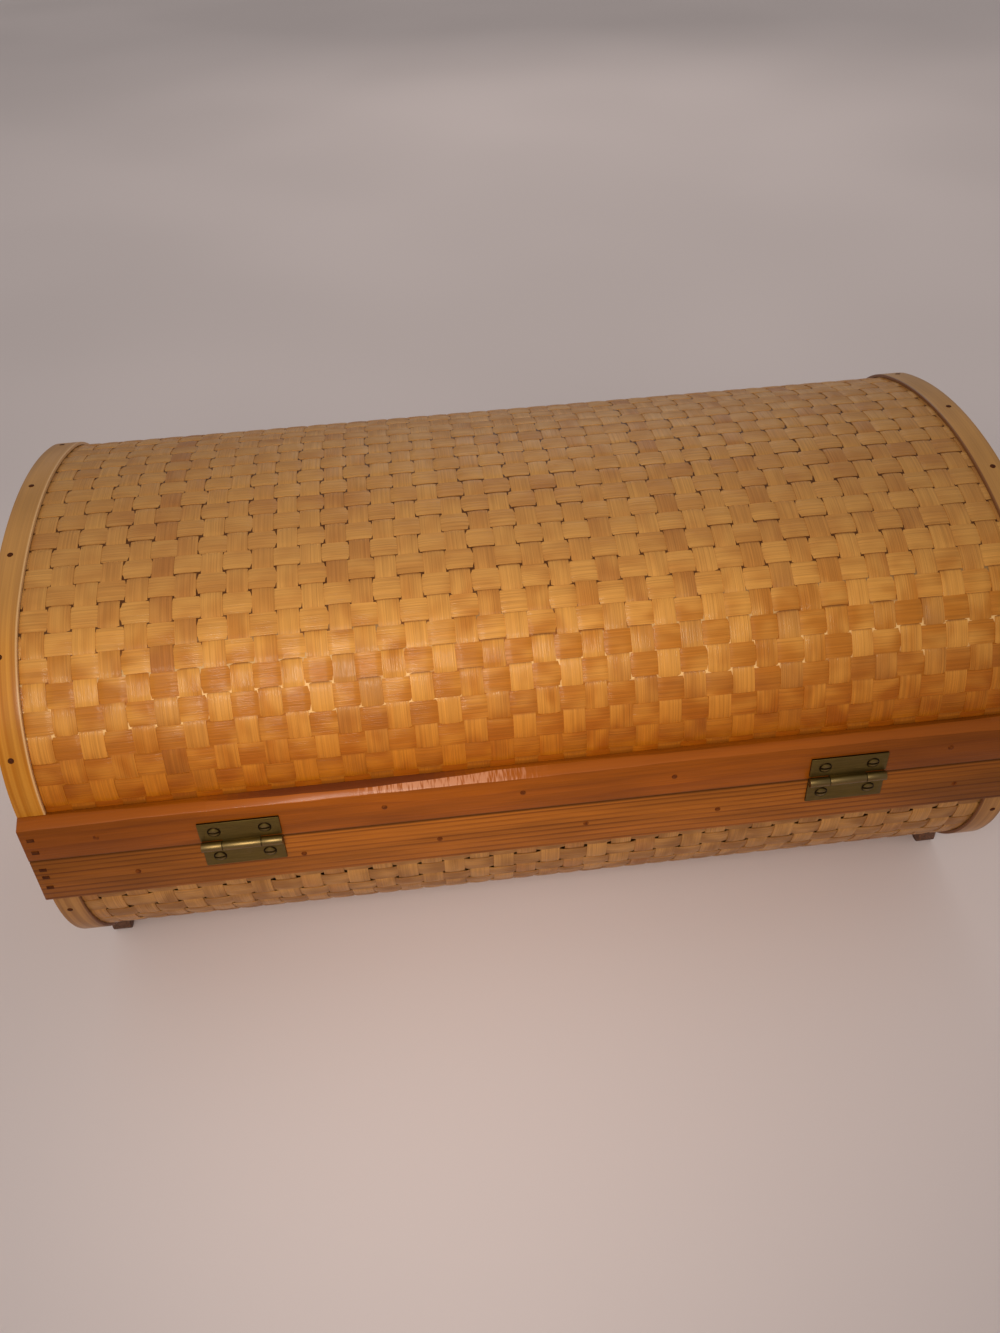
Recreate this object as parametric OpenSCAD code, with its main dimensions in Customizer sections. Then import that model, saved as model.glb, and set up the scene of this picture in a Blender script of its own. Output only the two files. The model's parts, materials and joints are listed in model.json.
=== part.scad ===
// Barrel-shaped wicker trunk: a domed lid and a rounded base, each a woven skin
// bent over two end boards, nailed behind straight rails and held by bent hoops.
// X is the length, -Y the front with its hook catch, +Y the back with its hinges,
// Z is up, and the origin lies on the floor under the middle of the trunk.

/* [Trunk] */
// Length over the ends of the rails
trunk_length = 460; // [380:5:560]
// Depth over the outer faces of the rails
trunk_depth = 262; // [230:2:310]
// Rise of the dome above the lid rails, to the outside of the weave
dome_rise = 86; // [70:1:105]
// Drop of the bowl below the base rails, to the outside of the weave
bowl_drop = 88; // [70:1:105]
// Radius of the tight curve beside the rails, as a share of the rise or the drop
shoulder_share = 0.915; // [0.7:0.005:0.95]
// Gap between the lid and the base where their rails meet
parting_gap = 0.4; // [0.2:0.1:1]

/* [Rails and battens] */
// Thickness of the rails
rail_thickness = 7.7; // [6:0.1:10]
// Height of the lid rails
lid_rail_height = 22; // [20:0.5:30]
// Height of the base rails
base_rail_height = 26; // [24:0.5:34]
// Radius worn onto the long outer edges of the rails
rail_round = 1.2; // [0.4:0.1:2]
// Radius planed onto the top edge of the lid rails
lid_rail_round = 2.2; // [1:0.1:4]
// Thickness of the battens inside the weave
batten_thickness = 5; // [3:0.5:7]
// Height of the battens inside the weave
batten_height = 16; // [12:0.5:18]

/* [Ends] */
// Thickness of the end boards
end_board_thickness = 10; // [8:0.5:14]
// Width of the bent hoops
hoop_width = 12.4; // [9:0.2:16]
// Thickness of the bent hoops
hoop_thickness = 1.5; // [1:0.1:2.5]

/* [Weave] */
// Thickness of the woven skin
weave_thickness = 1.6; // [1.2:0.1:2.4]
// Distance from the cut edge of the weave to the parting faces
weave_edge_inset = 1; // [0.5:0.1:3]

/* [Runners] */
// Width of each runner, along the trunk
runner_width = 9.5; // [7:0.5:12]
// Length of each runner on the floor, front to back
runner_length = 151; // [110:1:180]
// Thickness of each runner under the lowest point of its hoop
runner_lift = 5; // [3:0.5:10]
// Radius of the lower corners of the runners
runner_round = 4; // [1:0.5:6]

/* [Hinges] */
// Distance of the left hinge from the middle, to +X
hinge_left_offset = 136; // [90:1:160]
// Distance of the right hinge from the middle, to -X
hinge_right_offset = 141; // [90:1:160]
// Length of each hinge along its pin
hinge_width = 36; // [30:1:44]
// Height of each leaf from the middle of the pin
leaf_height = 13.2; // [12:0.2:16]
// Thickness of the leaves
leaf_thickness = 1.1; // [0.8:0.1:1.4]
// Outer radius of the knuckles
knuckle_radius = 2.2; // [2:0.1:2.8]
// Radius of the hinge pins
pin_radius = 1.1; // [0.8:0.05:1.3]
// Running clearance round the pins
pin_clearance = 0.05; // [0.02:0.01:0.1]
// Gap between neighbouring knuckles
knuckle_gap = 0.3; // [0.2:0.05:0.6]

/* [Screws and nails] */
// Radius of the screw heads
screw_head_radius = 3; // [2.4:0.1:3.2]
// Height of the domed part of the screw heads
screw_dome = 1; // [0.5:0.1:1]
// Radius of the screw shanks
screw_radius = 1.3; // [1:0.1:1.6]
// Depth of the screws in the rails
screw_depth = 6; // [4:0.5:7]
// Radius of the round nail heads
nail_head_radius = 1.3; // [0.8:0.1:1.6]
// Radius of the nail shanks
nail_radius = 0.55; // [0.4:0.05:0.8]
// Length of the nails that hold the rails
rail_nail_length = 13; // [11:0.5:14]
// Length of the nails that hold the hoops
hoop_nail_length = 12; // [9:0.5:16]
// Width of the flat heads of the corner nails
cut_head_width = 3.2; // [2.4:0.1:4]
// Height of the flat heads of the corner nails
cut_head_height = 1.9; // [1.4:0.1:2.6]
// Length of the corner nails
corner_nail_length = 22; // [16:1:30]

/* [Hook catch] */
// Distance from the hook's pivot to the catch stud, when hooked
hook_reach = 22; // [20:0.5:26]
// Angle that the hook swings from hanging to hooked
hook_angle = 35; // [30:1:40]
// Height of the hook's pivot above the parting line
pivot_height = 8; // [7:0.5:10]
// Width and end radius of the hook's two plates
catch_plate_width = 13; // [11:0.5:16]
// Height of the plates from their round end's centre to their square end
catch_plate_tail = 9.5; // [8:0.5:11]
// Thickness of the plates
catch_plate_thickness = 1.1; // [0.8:0.1:1.4]
// Thickness of the hook
hook_thickness = 1.3; // [1:0.1:1.6]
// Width of the hook's arm
hook_arm_width = 4.4; // [3.6:0.2:5.4]
// Radius of the hook's pivot and of the catch stud
stud_radius = 1.4; // [1.1:0.1:1.7]
// Radius of the heads of the pivot and the stud
stud_head_radius = 2.7; // [2.3:0.1:3.2]
// Thickness of the heads of the pivot and the stud
stud_head_thickness = 1.3; // [0.8:0.1:1.6]

/* [Hidden] */

// Facets that stand for a full circle, and the turn between the arch's own points
$fn = 48;
large_fn = 240;
arch_step = 3;

// Clearance between curved faces that seat on each other in one body
seat = 0.05;
// Overrun of every cut past the face that it opens
overrun = 1;

// Heights
bowl_low_z = runner_lift + hoop_thickness + seat;
base_spring_z = bowl_low_z + bowl_drop;
parting_z = base_spring_z + base_rail_height;
lid_bottom_z = parting_z + parting_gap;
lid_spring_z = lid_bottom_z + lid_rail_height;

// Half sizes: the ends, the rails' outer faces, the weave's outer and inner faces
half_length = trunk_length / 2;
half_depth = trunk_depth / 2;
half_span = half_depth - rail_thickness;
half_inside = half_span - weave_thickness;

// Places along the trunk as shares of its half length, as the nails were driven
lid_nail_shares = [-0.82, -0.26, 0.04, 0.31, 0.86];
base_nail_shares = [-0.85, -0.355, -0.085, 0.21, 0.48, 0.805];
// Places round the hoops as shares of their curved length, from the back
lid_hoop_nail_shares = [0.085, 0.215, 0.37, 0.525, 0.71, 0.89];
base_hoop_nail_shares = [0.05, 0.19, 0.81, 0.95];
// Heights of the corner nails as shares of the rail's height, from the parting face
lid_corner_shares = [0.24, 0.6];
base_corner_shares = [0.22, 0.41, 0.67];
// Distance of a corner nail from the rail's end
corner_nail_inset = end_board_thickness * 0.45;

// Thickness of the nails' heads, and how far the heads stand proud
nail_head_thickness = 0.6;
nail_proud = 0.2;

// Hinges: the pin's place, the knuckles' shares of the length and the screws' places
hinge_y = half_depth + knuckle_radius;
hinge_z = parting_z + parting_gap / 2;
knuckle_shares = [0.26, 0.48, 0.26];
screw_spread = hinge_width * 0.31;
screw_height = knuckle_radius + (leaf_height - knuckle_radius) * 0.51;
slot_width = 1.1;
slot_depth = 0.8;

// Hook catch: depths from the rail's face, places and clearances
hook_clearance = 0.1;
boss_thickness = 0.5;
hook_back = catch_plate_thickness + boss_thickness + hook_clearance;
stud_head_base = hook_back + hook_thickness + hook_clearance;
pivot_x = -hook_reach * sin(hook_angle) / 2;
pivot_z = parting_z + pivot_height;
stud_x = -pivot_x;
stud_z = pivot_z - hook_reach * cos(hook_angle);
boss_radius = stud_head_radius - 0.3 * stud_radius;
throat_clearance = 0.25;
throat_radius = stud_radius + throat_clearance;
hook_head_radius = hook_arm_width * 1.25;
hook_eye_radius = hook_arm_width * 0.95;
plate_pin_head_radius = 1.2;
plate_pin_dome = 0.4;
plate_pin_radius = 0.6;
plate_pin_depth = 5;
plate_pin_spread = catch_plate_width * 0.3;
plate_pin_reach = catch_plate_tail - 2 * plate_pin_head_radius;

// Three-centred arch: one crown arc between two shoulder arcs that are tangent to it
function shoulder_radius(rise) = shoulder_share * rise;
function shoulder_centre(rise) = half_span - shoulder_radius(rise);
function crown_radius(rise) =
    let(r = shoulder_radius(rise), c = shoulder_centre(rise))
    (c * c + rise * rise - r * r) / (2 * (rise - r));
// Angle that each shoulder arc turns through, from the rail to the crown arc
function shoulder_angle(rise) = atan2(crown_radius(rise) - rise, shoulder_centre(rise));

// Lengths of the shoulder arc and of the whole arch, on a face grown outwards by grow
function shoulder_length(rise, grow) =
    (shoulder_radius(rise) + grow) * shoulder_angle(rise) * PI / 180;
function crown_length(rise, grow) =
    (crown_radius(rise) + grow) * (180 - 2 * shoulder_angle(rise)) * PI / 180;
function arch_length(rise, grow) = 2 * shoulder_length(rise, grow) + crown_length(rise, grow);

// Direction of the outward normal at a length along the arch, 0 to 180 degrees
function arch_angle(rise, grow, along) =
    let(side = shoulder_length(rise, grow), top = crown_length(rise, grow))
    along < side ? shoulder_angle(rise) * along / side
    : along < side + top
        ? shoulder_angle(rise) + (180 - 2 * shoulder_angle(rise)) * (along - side) / top
        : 180 - shoulder_angle(rise) * (arch_length(rise, grow) - along) / side;

// Point of the arch whose outward normal has this direction
function arch_point(rise, grow, angle) =
    let(side = shoulder_angle(rise), crown = crown_radius(rise))
    angle < side
        ? [shoulder_centre(rise), 0] + (shoulder_radius(rise) + grow) * [cos(angle), sin(angle)]
    : angle > 180 - side
        ? [-shoulder_centre(rise), 0] + (shoulder_radius(rise) + grow) * [cos(angle), sin(angle)]
        : [0, rise - crown] + (crown + grow) * [cos(angle), sin(angle)];

// Pie slice of a disc between two directions less than 180 degrees apart
module pie(radius, start, end) {
    middle = (start + end) / 2;
    far = 2 * radius;
    intersection() {
        circle(radius, $fn = large_fn);
        polygon([
            [0, 0],
            far * [cos(start), sin(start)],
            far * [cos(middle), sin(middle)],
            far * [cos(end), sin(end)]
        ]);
    }
}

// The arch filled in, on straight sides of length skirt below its springing line
module arch_face(rise, grow, skirt) {
    sides = [[-half_span - grow, -skirt], [half_span + grow, -skirt]];
    polygon(concat(
        [for (angle = [0:arch_step:180]) arch_point(rise, grow, angle)],
        skirt > 0 ? sides : []
    ));
}

// A skin of the arch's own curve, from inner to outer growth, on straight sides
module arch_skin(rise, inner, outer, skirt) {
    difference() {
        arch_face(rise, outer, skirt);
        arch_face(rise, inner, skirt + overrun);
    }
}

// Stands a face drawn in depth and height up, and extrudes it along the trunk from x
module along_trunk(x, length) {
    translate([x, 0, 0])
        rotate([90, 0, 90])
            linear_extrude(length)
                children();
}

// Places a lid face on its springing line, and a base face upside down on its own
module on_lid() {
    translate([0, lid_spring_z])
        children();
}
module on_base() {
    translate([0, base_spring_z])
        mirror([0, 1])
            children();
}

// Section of a rail against the weave at +Y, with a worn lower and upper outer edge
module rail_section(low_z, height, low_round, high_round) {
    translate([half_span, low_z]) {
        square([rail_thickness - low_round, low_round]);
        translate([rail_thickness - low_round, low_round])
            pie(low_round, -90, 0);
        translate([0, low_round])
            square([rail_thickness, height - low_round - high_round]);
        translate([0, height - high_round])
            square([rail_thickness - high_round, high_round]);
        translate([rail_thickness - high_round, height - high_round])
            pie(high_round, 0, 90);
    }
}

// Turns a piece that is drawn at the back to the front
module to_front() {
    mirror([0, 1, 0])
        children();
}

// Rails
module lid_rail() {
    color("sienna")
        along_trunk(-half_length, trunk_length)
            rail_section(lid_bottom_z, lid_rail_height, rail_round / 2, lid_rail_round);
}
module base_rail() {
    color("peru")
        along_trunk(-half_length, trunk_length)
            rail_section(base_spring_z, base_rail_height, rail_round, rail_round / 2);
}
module lid_rail_back() {
    lid_rail();
}
module lid_rail_front() {
    to_front() lid_rail();
}
module base_rail_back() {
    base_rail();
}
module base_rail_front() {
    to_front() base_rail();
}

// Battens that clamp the weave's straight edges against the rails, between the end boards
module batten(low_z) {
    color("burlywood")
        translate([
            -half_length + end_board_thickness, half_inside - batten_thickness, low_z
        ])
            cube([trunk_length - 2 * end_board_thickness, batten_thickness, batten_height]);
}
module lid_batten_back() {
    batten(lid_bottom_z);
}
module lid_batten_front() {
    to_front() batten(lid_bottom_z);
}
module base_batten_back() {
    batten(parting_z - batten_height);
}
module base_batten_front() {
    to_front() batten(parting_z - batten_height);
}

// End boards, sawn to the arch inside the weave
module lid_end_board(x) {
    color("tan")
        along_trunk(x, end_board_thickness)
            on_lid()
                arch_face(dome_rise, -weave_thickness - seat, lid_rail_height);
}
module base_end_board(x) {
    color("tan")
        along_trunk(x, end_board_thickness)
            on_base()
                arch_face(bowl_drop, -weave_thickness - seat, base_rail_height);
}
module lid_end_board_left() {
    lid_end_board(half_length - end_board_thickness);
}
module lid_end_board_right() {
    lid_end_board(-half_length);
}
module base_end_board_left() {
    base_end_board(half_length - end_board_thickness);
}
module base_end_board_right() {
    base_end_board(-half_length);
}

// Woven skins, bent over the end boards and down behind the rails
module lid_woven_panel() {
    color("goldenrod")
        along_trunk(-half_length, trunk_length)
            on_lid()
                arch_skin(dome_rise, -weave_thickness, 0, lid_rail_height - weave_edge_inset);
}
module base_woven_panel() {
    color("goldenrod")
        along_trunk(-half_length, trunk_length)
            on_base()
                arch_skin(bowl_drop, -weave_thickness, 0, base_rail_height - weave_edge_inset);
}

// Hoops, bent round the outside of the weave at each end, from rail to rail
module lid_hoop(x) {
    color("wheat")
        along_trunk(x, hoop_width)
            on_lid()
                arch_skin(dome_rise, seat, seat + hoop_thickness, 0);
}
module base_hoop(x) {
    color("wheat")
        along_trunk(x, hoop_width)
            on_base()
                arch_skin(bowl_drop, seat, seat + hoop_thickness, 0);
}
module lid_hoop_left() {
    lid_hoop(half_length - hoop_width);
}
module lid_hoop_right() {
    lid_hoop(-half_length);
}
module base_hoop_left() {
    base_hoop(half_length - hoop_width);
}
module base_hoop_right() {
    base_hoop(-half_length);
}

// Runners, hollowed on top to the hoop's curve and flat on the floor
module runner(x) {
    color("saddlebrown")
        difference() {
            along_trunk(x, runner_width)
                runner_face();
            runner_nail_sinks();
        }
}
module runner_face() {
    difference() {
        union() {
            translate([-runner_length / 2, runner_round])
                square([runner_length, bowl_drop / 2]);
            translate([-runner_length / 2 + runner_round, 0])
                square([runner_length - 2 * runner_round, runner_round]);
            for (hand = [0, 1])
                mirror([hand, 0])
                    translate([runner_length / 2 - runner_round, runner_round])
                        pie(runner_round, -90, 0);
        }
        on_base()
            arch_face(bowl_drop, 2 * seat + hoop_thickness, 0);
    }
}
module runner_left() {
    runner(half_length - runner_width);
}
module runner_right() {
    runner(-half_length);
}

// Share of the hinge's length that lies before a knuckle, counted from -X
function knuckle_start_share(index) =
    index == 0 ? 0 : knuckle_shares[index - 1] + knuckle_start_share(index - 1);

module along_x(x, length, radius) {
    translate([x, 0, 0])
        rotate([0, 90, 0])
            cylinder(h = length, r = radius);
}

// A leaf below its pin, drawn about the pin's axis: plate, knuckles, bore and screw holes
module leaf(indices) {
    plate_top = knuckle_radius + knuckle_gap;
    difference() {
        union() {
            translate([-hinge_width / 2, -knuckle_radius, -leaf_height])
                cube([hinge_width, leaf_thickness, leaf_height - plate_top]);
            for (index = indices) {
                start = hinge_width * (knuckle_start_share(index) - 0.5)
                    + (index == 0 ? 0 : knuckle_gap / 2);
                length = hinge_width * knuckle_shares[index]
                    - (index == 1 ? knuckle_gap : knuckle_gap / 2);
                along_x(start, length, knuckle_radius);
                translate([start, -knuckle_radius, -plate_top])
                    cube([length, leaf_thickness, plate_top]);
            }
        }
        along_x(-hinge_width / 2 - overrun, hinge_width + 2 * overrun, pin_radius + pin_clearance);
        for (side = [-1, 1])
            translate([side * screw_spread, -knuckle_radius, -screw_height])
                rotate([-90, 0, 0]) {
                    cylinder(
                        h = leaf_thickness,
                        r1 = screw_radius + seat,
                        r2 = screw_head_radius + seat
                    );
                    translate([0, 0, -overrun])
                        cylinder(h = 2 * overrun, r = screw_radius + seat);
                }
    }
}
module at_hinge(x) {
    translate([x, hinge_y, hinge_z])
        children();
}
module lower_leaf(x) {
    color("darkgoldenrod")
        at_hinge(x)
            leaf([0, 2]);
}
module upper_leaf(x) {
    color("darkgoldenrod")
        at_hinge(x)
            mirror([0, 0, 1])
                leaf([1]);
}
module hinge_pin(x) {
    color("gold")
        at_hinge(x)
            along_x(-hinge_width / 2, hinge_width, pin_radius);
}
module hinge_left_lower_leaf() {
    lower_leaf(hinge_left_offset);
}
module hinge_left_upper_leaf() {
    upper_leaf(hinge_left_offset);
}
module hinge_left_pin() {
    hinge_pin(hinge_left_offset);
}
module hinge_right_lower_leaf() {
    lower_leaf(-hinge_right_offset);
}
module hinge_right_upper_leaf() {
    upper_leaf(-hinge_right_offset);
}
module hinge_right_pin() {
    hinge_pin(-hinge_right_offset);
}

// A slotted screw with a domed, countersunk head, standing on its leaf and pointing to -Y
module screw() {
    rotate([-90, 0, 0]) {
        difference() {
            translate([0, 0, leaf_thickness])
                dome(screw_head_radius, screw_dome);
            translate([
                -screw_head_radius, -slot_width / 2, leaf_thickness + screw_dome - slot_depth
            ])
                cube([2 * screw_head_radius, slot_width, screw_dome]);
        }
        cylinder(h = leaf_thickness, r1 = screw_radius, r2 = screw_head_radius);
        translate([0, 0, -screw_depth])
            cylinder(h = screw_depth, r = screw_radius);
    }
}

// A cap of a ball that stands this high on its flat face
module dome(radius, height) {
    ball = (radius * radius + height * height) / (2 * height);
    intersection() {
        translate([0, 0, height - ball])
            sphere(ball, $fn = 2 * $fn);
        cylinder(h = height, r = radius);
    }
}
module hinge_screws(height) {
    color("goldenrod")
        for (x = [hinge_left_offset, -hinge_right_offset], side = [-1, 1])
            translate([x + side * screw_spread, half_depth, hinge_z + height])
                screw();
}
module hinge_lower_screws() {
    hinge_screws(-screw_height);
}
module hinge_upper_screws() {
    hinge_screws(screw_height);
}

// A round-headed nail that stands on the plane Z = 0 and points down
module nail(length) {
    translate([0, 0, nail_proud - nail_head_thickness])
        cylinder(h = nail_head_thickness, r = nail_head_radius);
    translate([0, 0, -length])
        cylinder(h = length, r = nail_radius);
}

// A corner nail with a flat oblong head, its long side along X
module cut_nail(length) {
    translate([-cut_head_width / 2, -cut_head_height / 2, nail_proud - nail_head_thickness])
        cube([cut_head_width, cut_head_height, nail_head_thickness]);
    translate([0, 0, -length])
        cylinder(h = length, r = nail_radius);
}

// Nails driven square into the back and the front rail
module rail_nails(shares, z) {
    color("saddlebrown")
        for (face = [0, 1])
            mirror([0, face, 0])
                for (share = shares)
                    translate([share * half_length, half_depth, z])
                        rotate([-90, 0, 0])
                            nail(rail_nail_length);
}
module lid_rail_nails() {
    rail_nails(lid_nail_shares, lid_bottom_z + lid_rail_height / 2);
}
module base_rail_nails() {
    rail_nails(base_nail_shares, parting_z - base_rail_height / 2);
}
module corner_nails(heights) {
    color("saddlebrown")
        for (face = [0, 1], hand = [0, 1])
            mirror([hand, 0, 0])
                mirror([0, face, 0])
                    for (z = heights)
                        translate([half_length - corner_nail_inset, half_depth, z])
                            rotate([-90, 0, 0])
                                cut_nail(corner_nail_length);
}
module lid_corner_nails() {
    corner_nails([for (share = lid_corner_shares) lid_bottom_z + share * lid_rail_height]);
}
module base_corner_nails() {
    corner_nails([for (share = base_corner_shares) parting_z - share * base_rail_height]);
}

// Nails driven square into the hoops, drawn on the arch at X = 0
module hoop_nails(rise, shares) {
    grow = seat + hoop_thickness;
    for (share = shares) {
        angle = arch_angle(rise, grow, share * arch_length(rise, grow));
        place = arch_point(rise, grow, angle);
        translate([0, place.x, place.y])
            rotate([angle - 90, 0, 0])
                nail(hoop_nail_length);
    }
}
module at_both_hoops() {
    for (hand = [-1, 1])
        translate([hand * (half_length - end_board_thickness / 2), 0, 0])
            children();
}
module lid_hoop_nails() {
    color("saddlebrown")
        at_both_hoops()
            translate([0, 0, lid_spring_z])
                hoop_nails(dome_rise, lid_hoop_nail_shares);
}
module base_hoop_nails() {
    color("saddlebrown")
        at_both_hoops()
            translate([0, 0, base_spring_z])
                mirror([0, 0, 1])
                    hoop_nails(bowl_drop, base_hoop_nail_shares);
}

// Nails driven up through the runners into the end boards, their heads sunk in holes
module at_runner_nails() {
    at_both_hoops()
        for (side = [-1, 1])
            translate([0, side * runner_length / 4, runner_lift / 2])
                children();
}
module runner_nail_sinks() {
    at_runner_nails()
        translate([0, 0, -runner_lift])
            cylinder(h = runner_lift + nail_head_thickness - nail_proud, r = nail_head_radius + seat);
}
module runner_nails() {
    color("saddlebrown")
        at_runner_nails()
            mirror([0, 0, 1])
                nail(runner_lift + hoop_nail_length);
}

// Hook catch: a piece drawn flat with its outside up, stood on the front rail's face
module on_front(x, z) {
    translate([x, -half_depth, z])
        rotate([90, 0, 0])
            children();
}

// A plate with one round end about its stud and a square tail above it
module catch_plate() {
    difference() {
        linear_extrude(catch_plate_thickness)
            union() {
                circle(catch_plate_width / 2);
                translate([-catch_plate_width / 2, 0])
                    square([catch_plate_width, catch_plate_tail]);
            }
        translate([0, 0, -overrun])
            cylinder(h = catch_plate_thickness + 2 * overrun, r = stud_radius + seat);
    }
}

// A stud with a boss under the hook and a domed head over it
module headed_stud() {
    cylinder(h = stud_head_base, r = stud_radius);
    translate([0, 0, catch_plate_thickness])
        cylinder(h = boss_thickness, r = boss_radius);
    translate([0, 0, stud_head_base])
        dome(stud_head_radius, stud_head_thickness);
}
module plate_pins() {
    for (side = [-1, 1])
        translate([side * plate_pin_spread, plate_pin_reach, 0]) {
            translate([0, 0, catch_plate_thickness])
                dome(plate_pin_head_radius, plate_pin_dome);
            translate([0, 0, -plate_pin_depth])
                cylinder(h = plate_pin_depth + catch_plate_thickness, r = plate_pin_radius);
        }
}

// The hook hanging from its pivot, with a throat that the stud enters from +X
module hook_face() {
    throat = 2 * throat_radius;
    difference() {
        union() {
            circle(hook_eye_radius);
            translate([-hook_arm_width / 2, -hook_reach])
                square([hook_arm_width, hook_reach]);
            translate([0, -hook_reach])
                circle(hook_head_radius);
        }
        circle(stud_radius + pin_clearance);
        translate([0, -hook_reach])
            circle(throat_radius);
        intersection() {
            difference() {
                circle(hook_reach + throat_radius, $fn = large_fn);
                circle(hook_reach - throat_radius, $fn = large_fn);
            }
            translate([0, -hook_reach - throat])
                square([2 * hook_head_radius, hook_reach]);
        }
        translate([hook_arm_width / 2, -hook_reach])
            square([hook_head_radius, hook_head_radius]);
    }
}
module hook_plate() {
    color("darkgoldenrod")
        on_front(pivot_x, pivot_z)
            catch_plate();
}
module hook_pivot() {
    color("gold")
        on_front(pivot_x, pivot_z)
            headed_stud();
}
module latch_hook() {
    color("goldenrod")
        on_front(pivot_x, pivot_z)
            translate([0, 0, hook_back])
                linear_extrude(hook_thickness)
                    hook_face();
}
module stud_plate() {
    color("darkgoldenrod")
        on_front(stud_x, stud_z)
            mirror([0, 1, 0])
                catch_plate();
}
module catch_stud() {
    color("gold")
        on_front(stud_x, stud_z)
            headed_stud();
}
module hook_plate_pins() {
    color("gold")
        on_front(pivot_x, pivot_z)
            plate_pins();
}
module stud_plate_pins() {
    color("gold")
        on_front(stud_x, stud_z)
            mirror([0, 1, 0])
                plate_pins();
}

base_rail_back();
base_rail_front();
base_end_board_left();
base_end_board_right();
base_woven_panel();
base_batten_back();
base_batten_front();
base_hoop_left();
base_hoop_right();
runner_left();
runner_right();
lid_rail_back();
lid_rail_front();
lid_end_board_left();
lid_end_board_right();
lid_woven_panel();
lid_batten_back();
lid_batten_front();
lid_hoop_left();
lid_hoop_right();
hinge_left_lower_leaf();
hinge_left_upper_leaf();
hinge_left_pin();
hinge_right_lower_leaf();
hinge_right_upper_leaf();
hinge_right_pin();
hinge_lower_screws();
hinge_upper_screws();
base_rail_nails();
lid_rail_nails();
base_corner_nails();
lid_corner_nails();
base_hoop_nails();
lid_hoop_nails();
runner_nails();
hook_plate();
hook_pivot();
latch_hook();
stud_plate();
catch_stud();
hook_plate_pins();
stud_plate_pins();
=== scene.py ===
import json
import math
import random

import bmesh
import bpy
import numpy as np
from mathutils import Matrix, Vector

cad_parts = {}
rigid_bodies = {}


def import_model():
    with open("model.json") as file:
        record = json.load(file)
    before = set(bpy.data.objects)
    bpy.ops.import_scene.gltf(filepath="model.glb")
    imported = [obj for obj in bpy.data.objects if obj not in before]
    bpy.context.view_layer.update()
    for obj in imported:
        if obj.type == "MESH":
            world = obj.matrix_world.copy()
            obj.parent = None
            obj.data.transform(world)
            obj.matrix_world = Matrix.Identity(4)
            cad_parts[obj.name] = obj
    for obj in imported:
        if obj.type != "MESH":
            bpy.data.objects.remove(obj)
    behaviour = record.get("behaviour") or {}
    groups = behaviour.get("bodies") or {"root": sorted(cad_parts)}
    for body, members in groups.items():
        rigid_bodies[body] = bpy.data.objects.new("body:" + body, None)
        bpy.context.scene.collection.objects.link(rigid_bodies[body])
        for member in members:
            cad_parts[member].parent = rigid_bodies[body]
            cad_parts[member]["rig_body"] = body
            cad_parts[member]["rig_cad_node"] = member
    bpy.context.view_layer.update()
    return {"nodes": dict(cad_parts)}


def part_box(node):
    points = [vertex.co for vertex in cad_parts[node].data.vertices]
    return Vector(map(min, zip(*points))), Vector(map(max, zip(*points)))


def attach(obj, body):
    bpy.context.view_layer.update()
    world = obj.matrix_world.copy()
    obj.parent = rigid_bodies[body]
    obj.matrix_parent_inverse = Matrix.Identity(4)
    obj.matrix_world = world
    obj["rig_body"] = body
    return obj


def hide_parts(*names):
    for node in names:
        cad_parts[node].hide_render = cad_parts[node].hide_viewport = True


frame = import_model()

bl_info = {
    "name": "Wicker trunk",
    "version": (1, 0, 0),
    "blender": (4, 5, 0),
    "location": "3D View > Sidebar > Trunk",
    "description": "Dresses a barrel-shaped wicker trunk in its weave, wood and brass",
    "category": "Object",
}

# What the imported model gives. Left is +X, the back with the hinges is +Y.
PANEL_LOW, PANEL_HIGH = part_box("lid_woven_panel")
BOWL_LOW, BOWL_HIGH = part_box("base_woven_panel")
LID_RAIL_LOW, LID_RAIL_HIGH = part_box("lid_rail_back")
BASE_RAIL_LOW, BASE_RAIL_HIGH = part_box("base_rail_back")
HALF_LENGTH = LID_RAIL_HIGH.x
HALF_DEPTH = LID_RAIL_HIGH.y
HALF_SPAN = PANEL_HIGH.y
RAIL_TOP = LID_RAIL_HIGH.z
RAIL_FOOT = BASE_RAIL_LOW.z
PARTING = (BASE_RAIL_HIGH.z + LID_RAIL_LOW.z) / 2
HOOP_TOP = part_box("lid_hoop_left")[1].z
KNUCKLE_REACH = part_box("hinge_left_lower_leaf")[1].y - HALF_DEPTH
# The gap under the hoops, and the thickness of the hoops and of the hinge leaves
HOOP_SEAT = 0.00005
HOOP_THICKNESS = HOOP_TOP - PANEL_HIGH.z - HOOP_SEAT
LEAF_THICKNESS = 0.0011

# Heights between which the lid's looks change: the greyed top, the thick varnish at the
# foot, the painted shade and grime that turn browner, the painted highlights in the holes,
# and the painted shade in the holes above them
GREYED_TOP = (RAIL_TOP + 0.05, PANEL_HIGH.z)
THICK_VARNISH = (RAIL_TOP + 0.05, RAIL_TOP)
BROWNER_SHADE_AND_DIRT = (RAIL_TOP + 0.02, RAIL_TOP + 0.06)
PAINTED_GLINTS = (RAIL_TOP + 0.024, RAIL_TOP + 0.034)
SHADED_HOLES = (RAIL_TOP + 0.044, RAIL_TOP + 0.07)
# Distances from the middle between which painted shade darkens the rails towards their
# ends, and how much
SHADED_ENDS = (0.11, 0.2)
END_SHADE = 0.7
# Distances from the parting between which its dark line of painted shade and grime fades
PARTING_LINE = (0.0004, 0.0012)
# How far painted shade and grime reach up the weave from the seam with a rail
SEAM_WIDTH = 0.0017

# Painted shade with grime where the rows and where the columns dip, as shares. Along the
# rows' lower edges it thins to the left: from which place on, and by how much for each metre.
ROW_SHADE_AND_DIRT = 0.3
COLUMN_SHADE_AND_DIRT = 0.5
THINNER_FROM = 0.06
THINNER_SLOPE = 1.6
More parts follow.
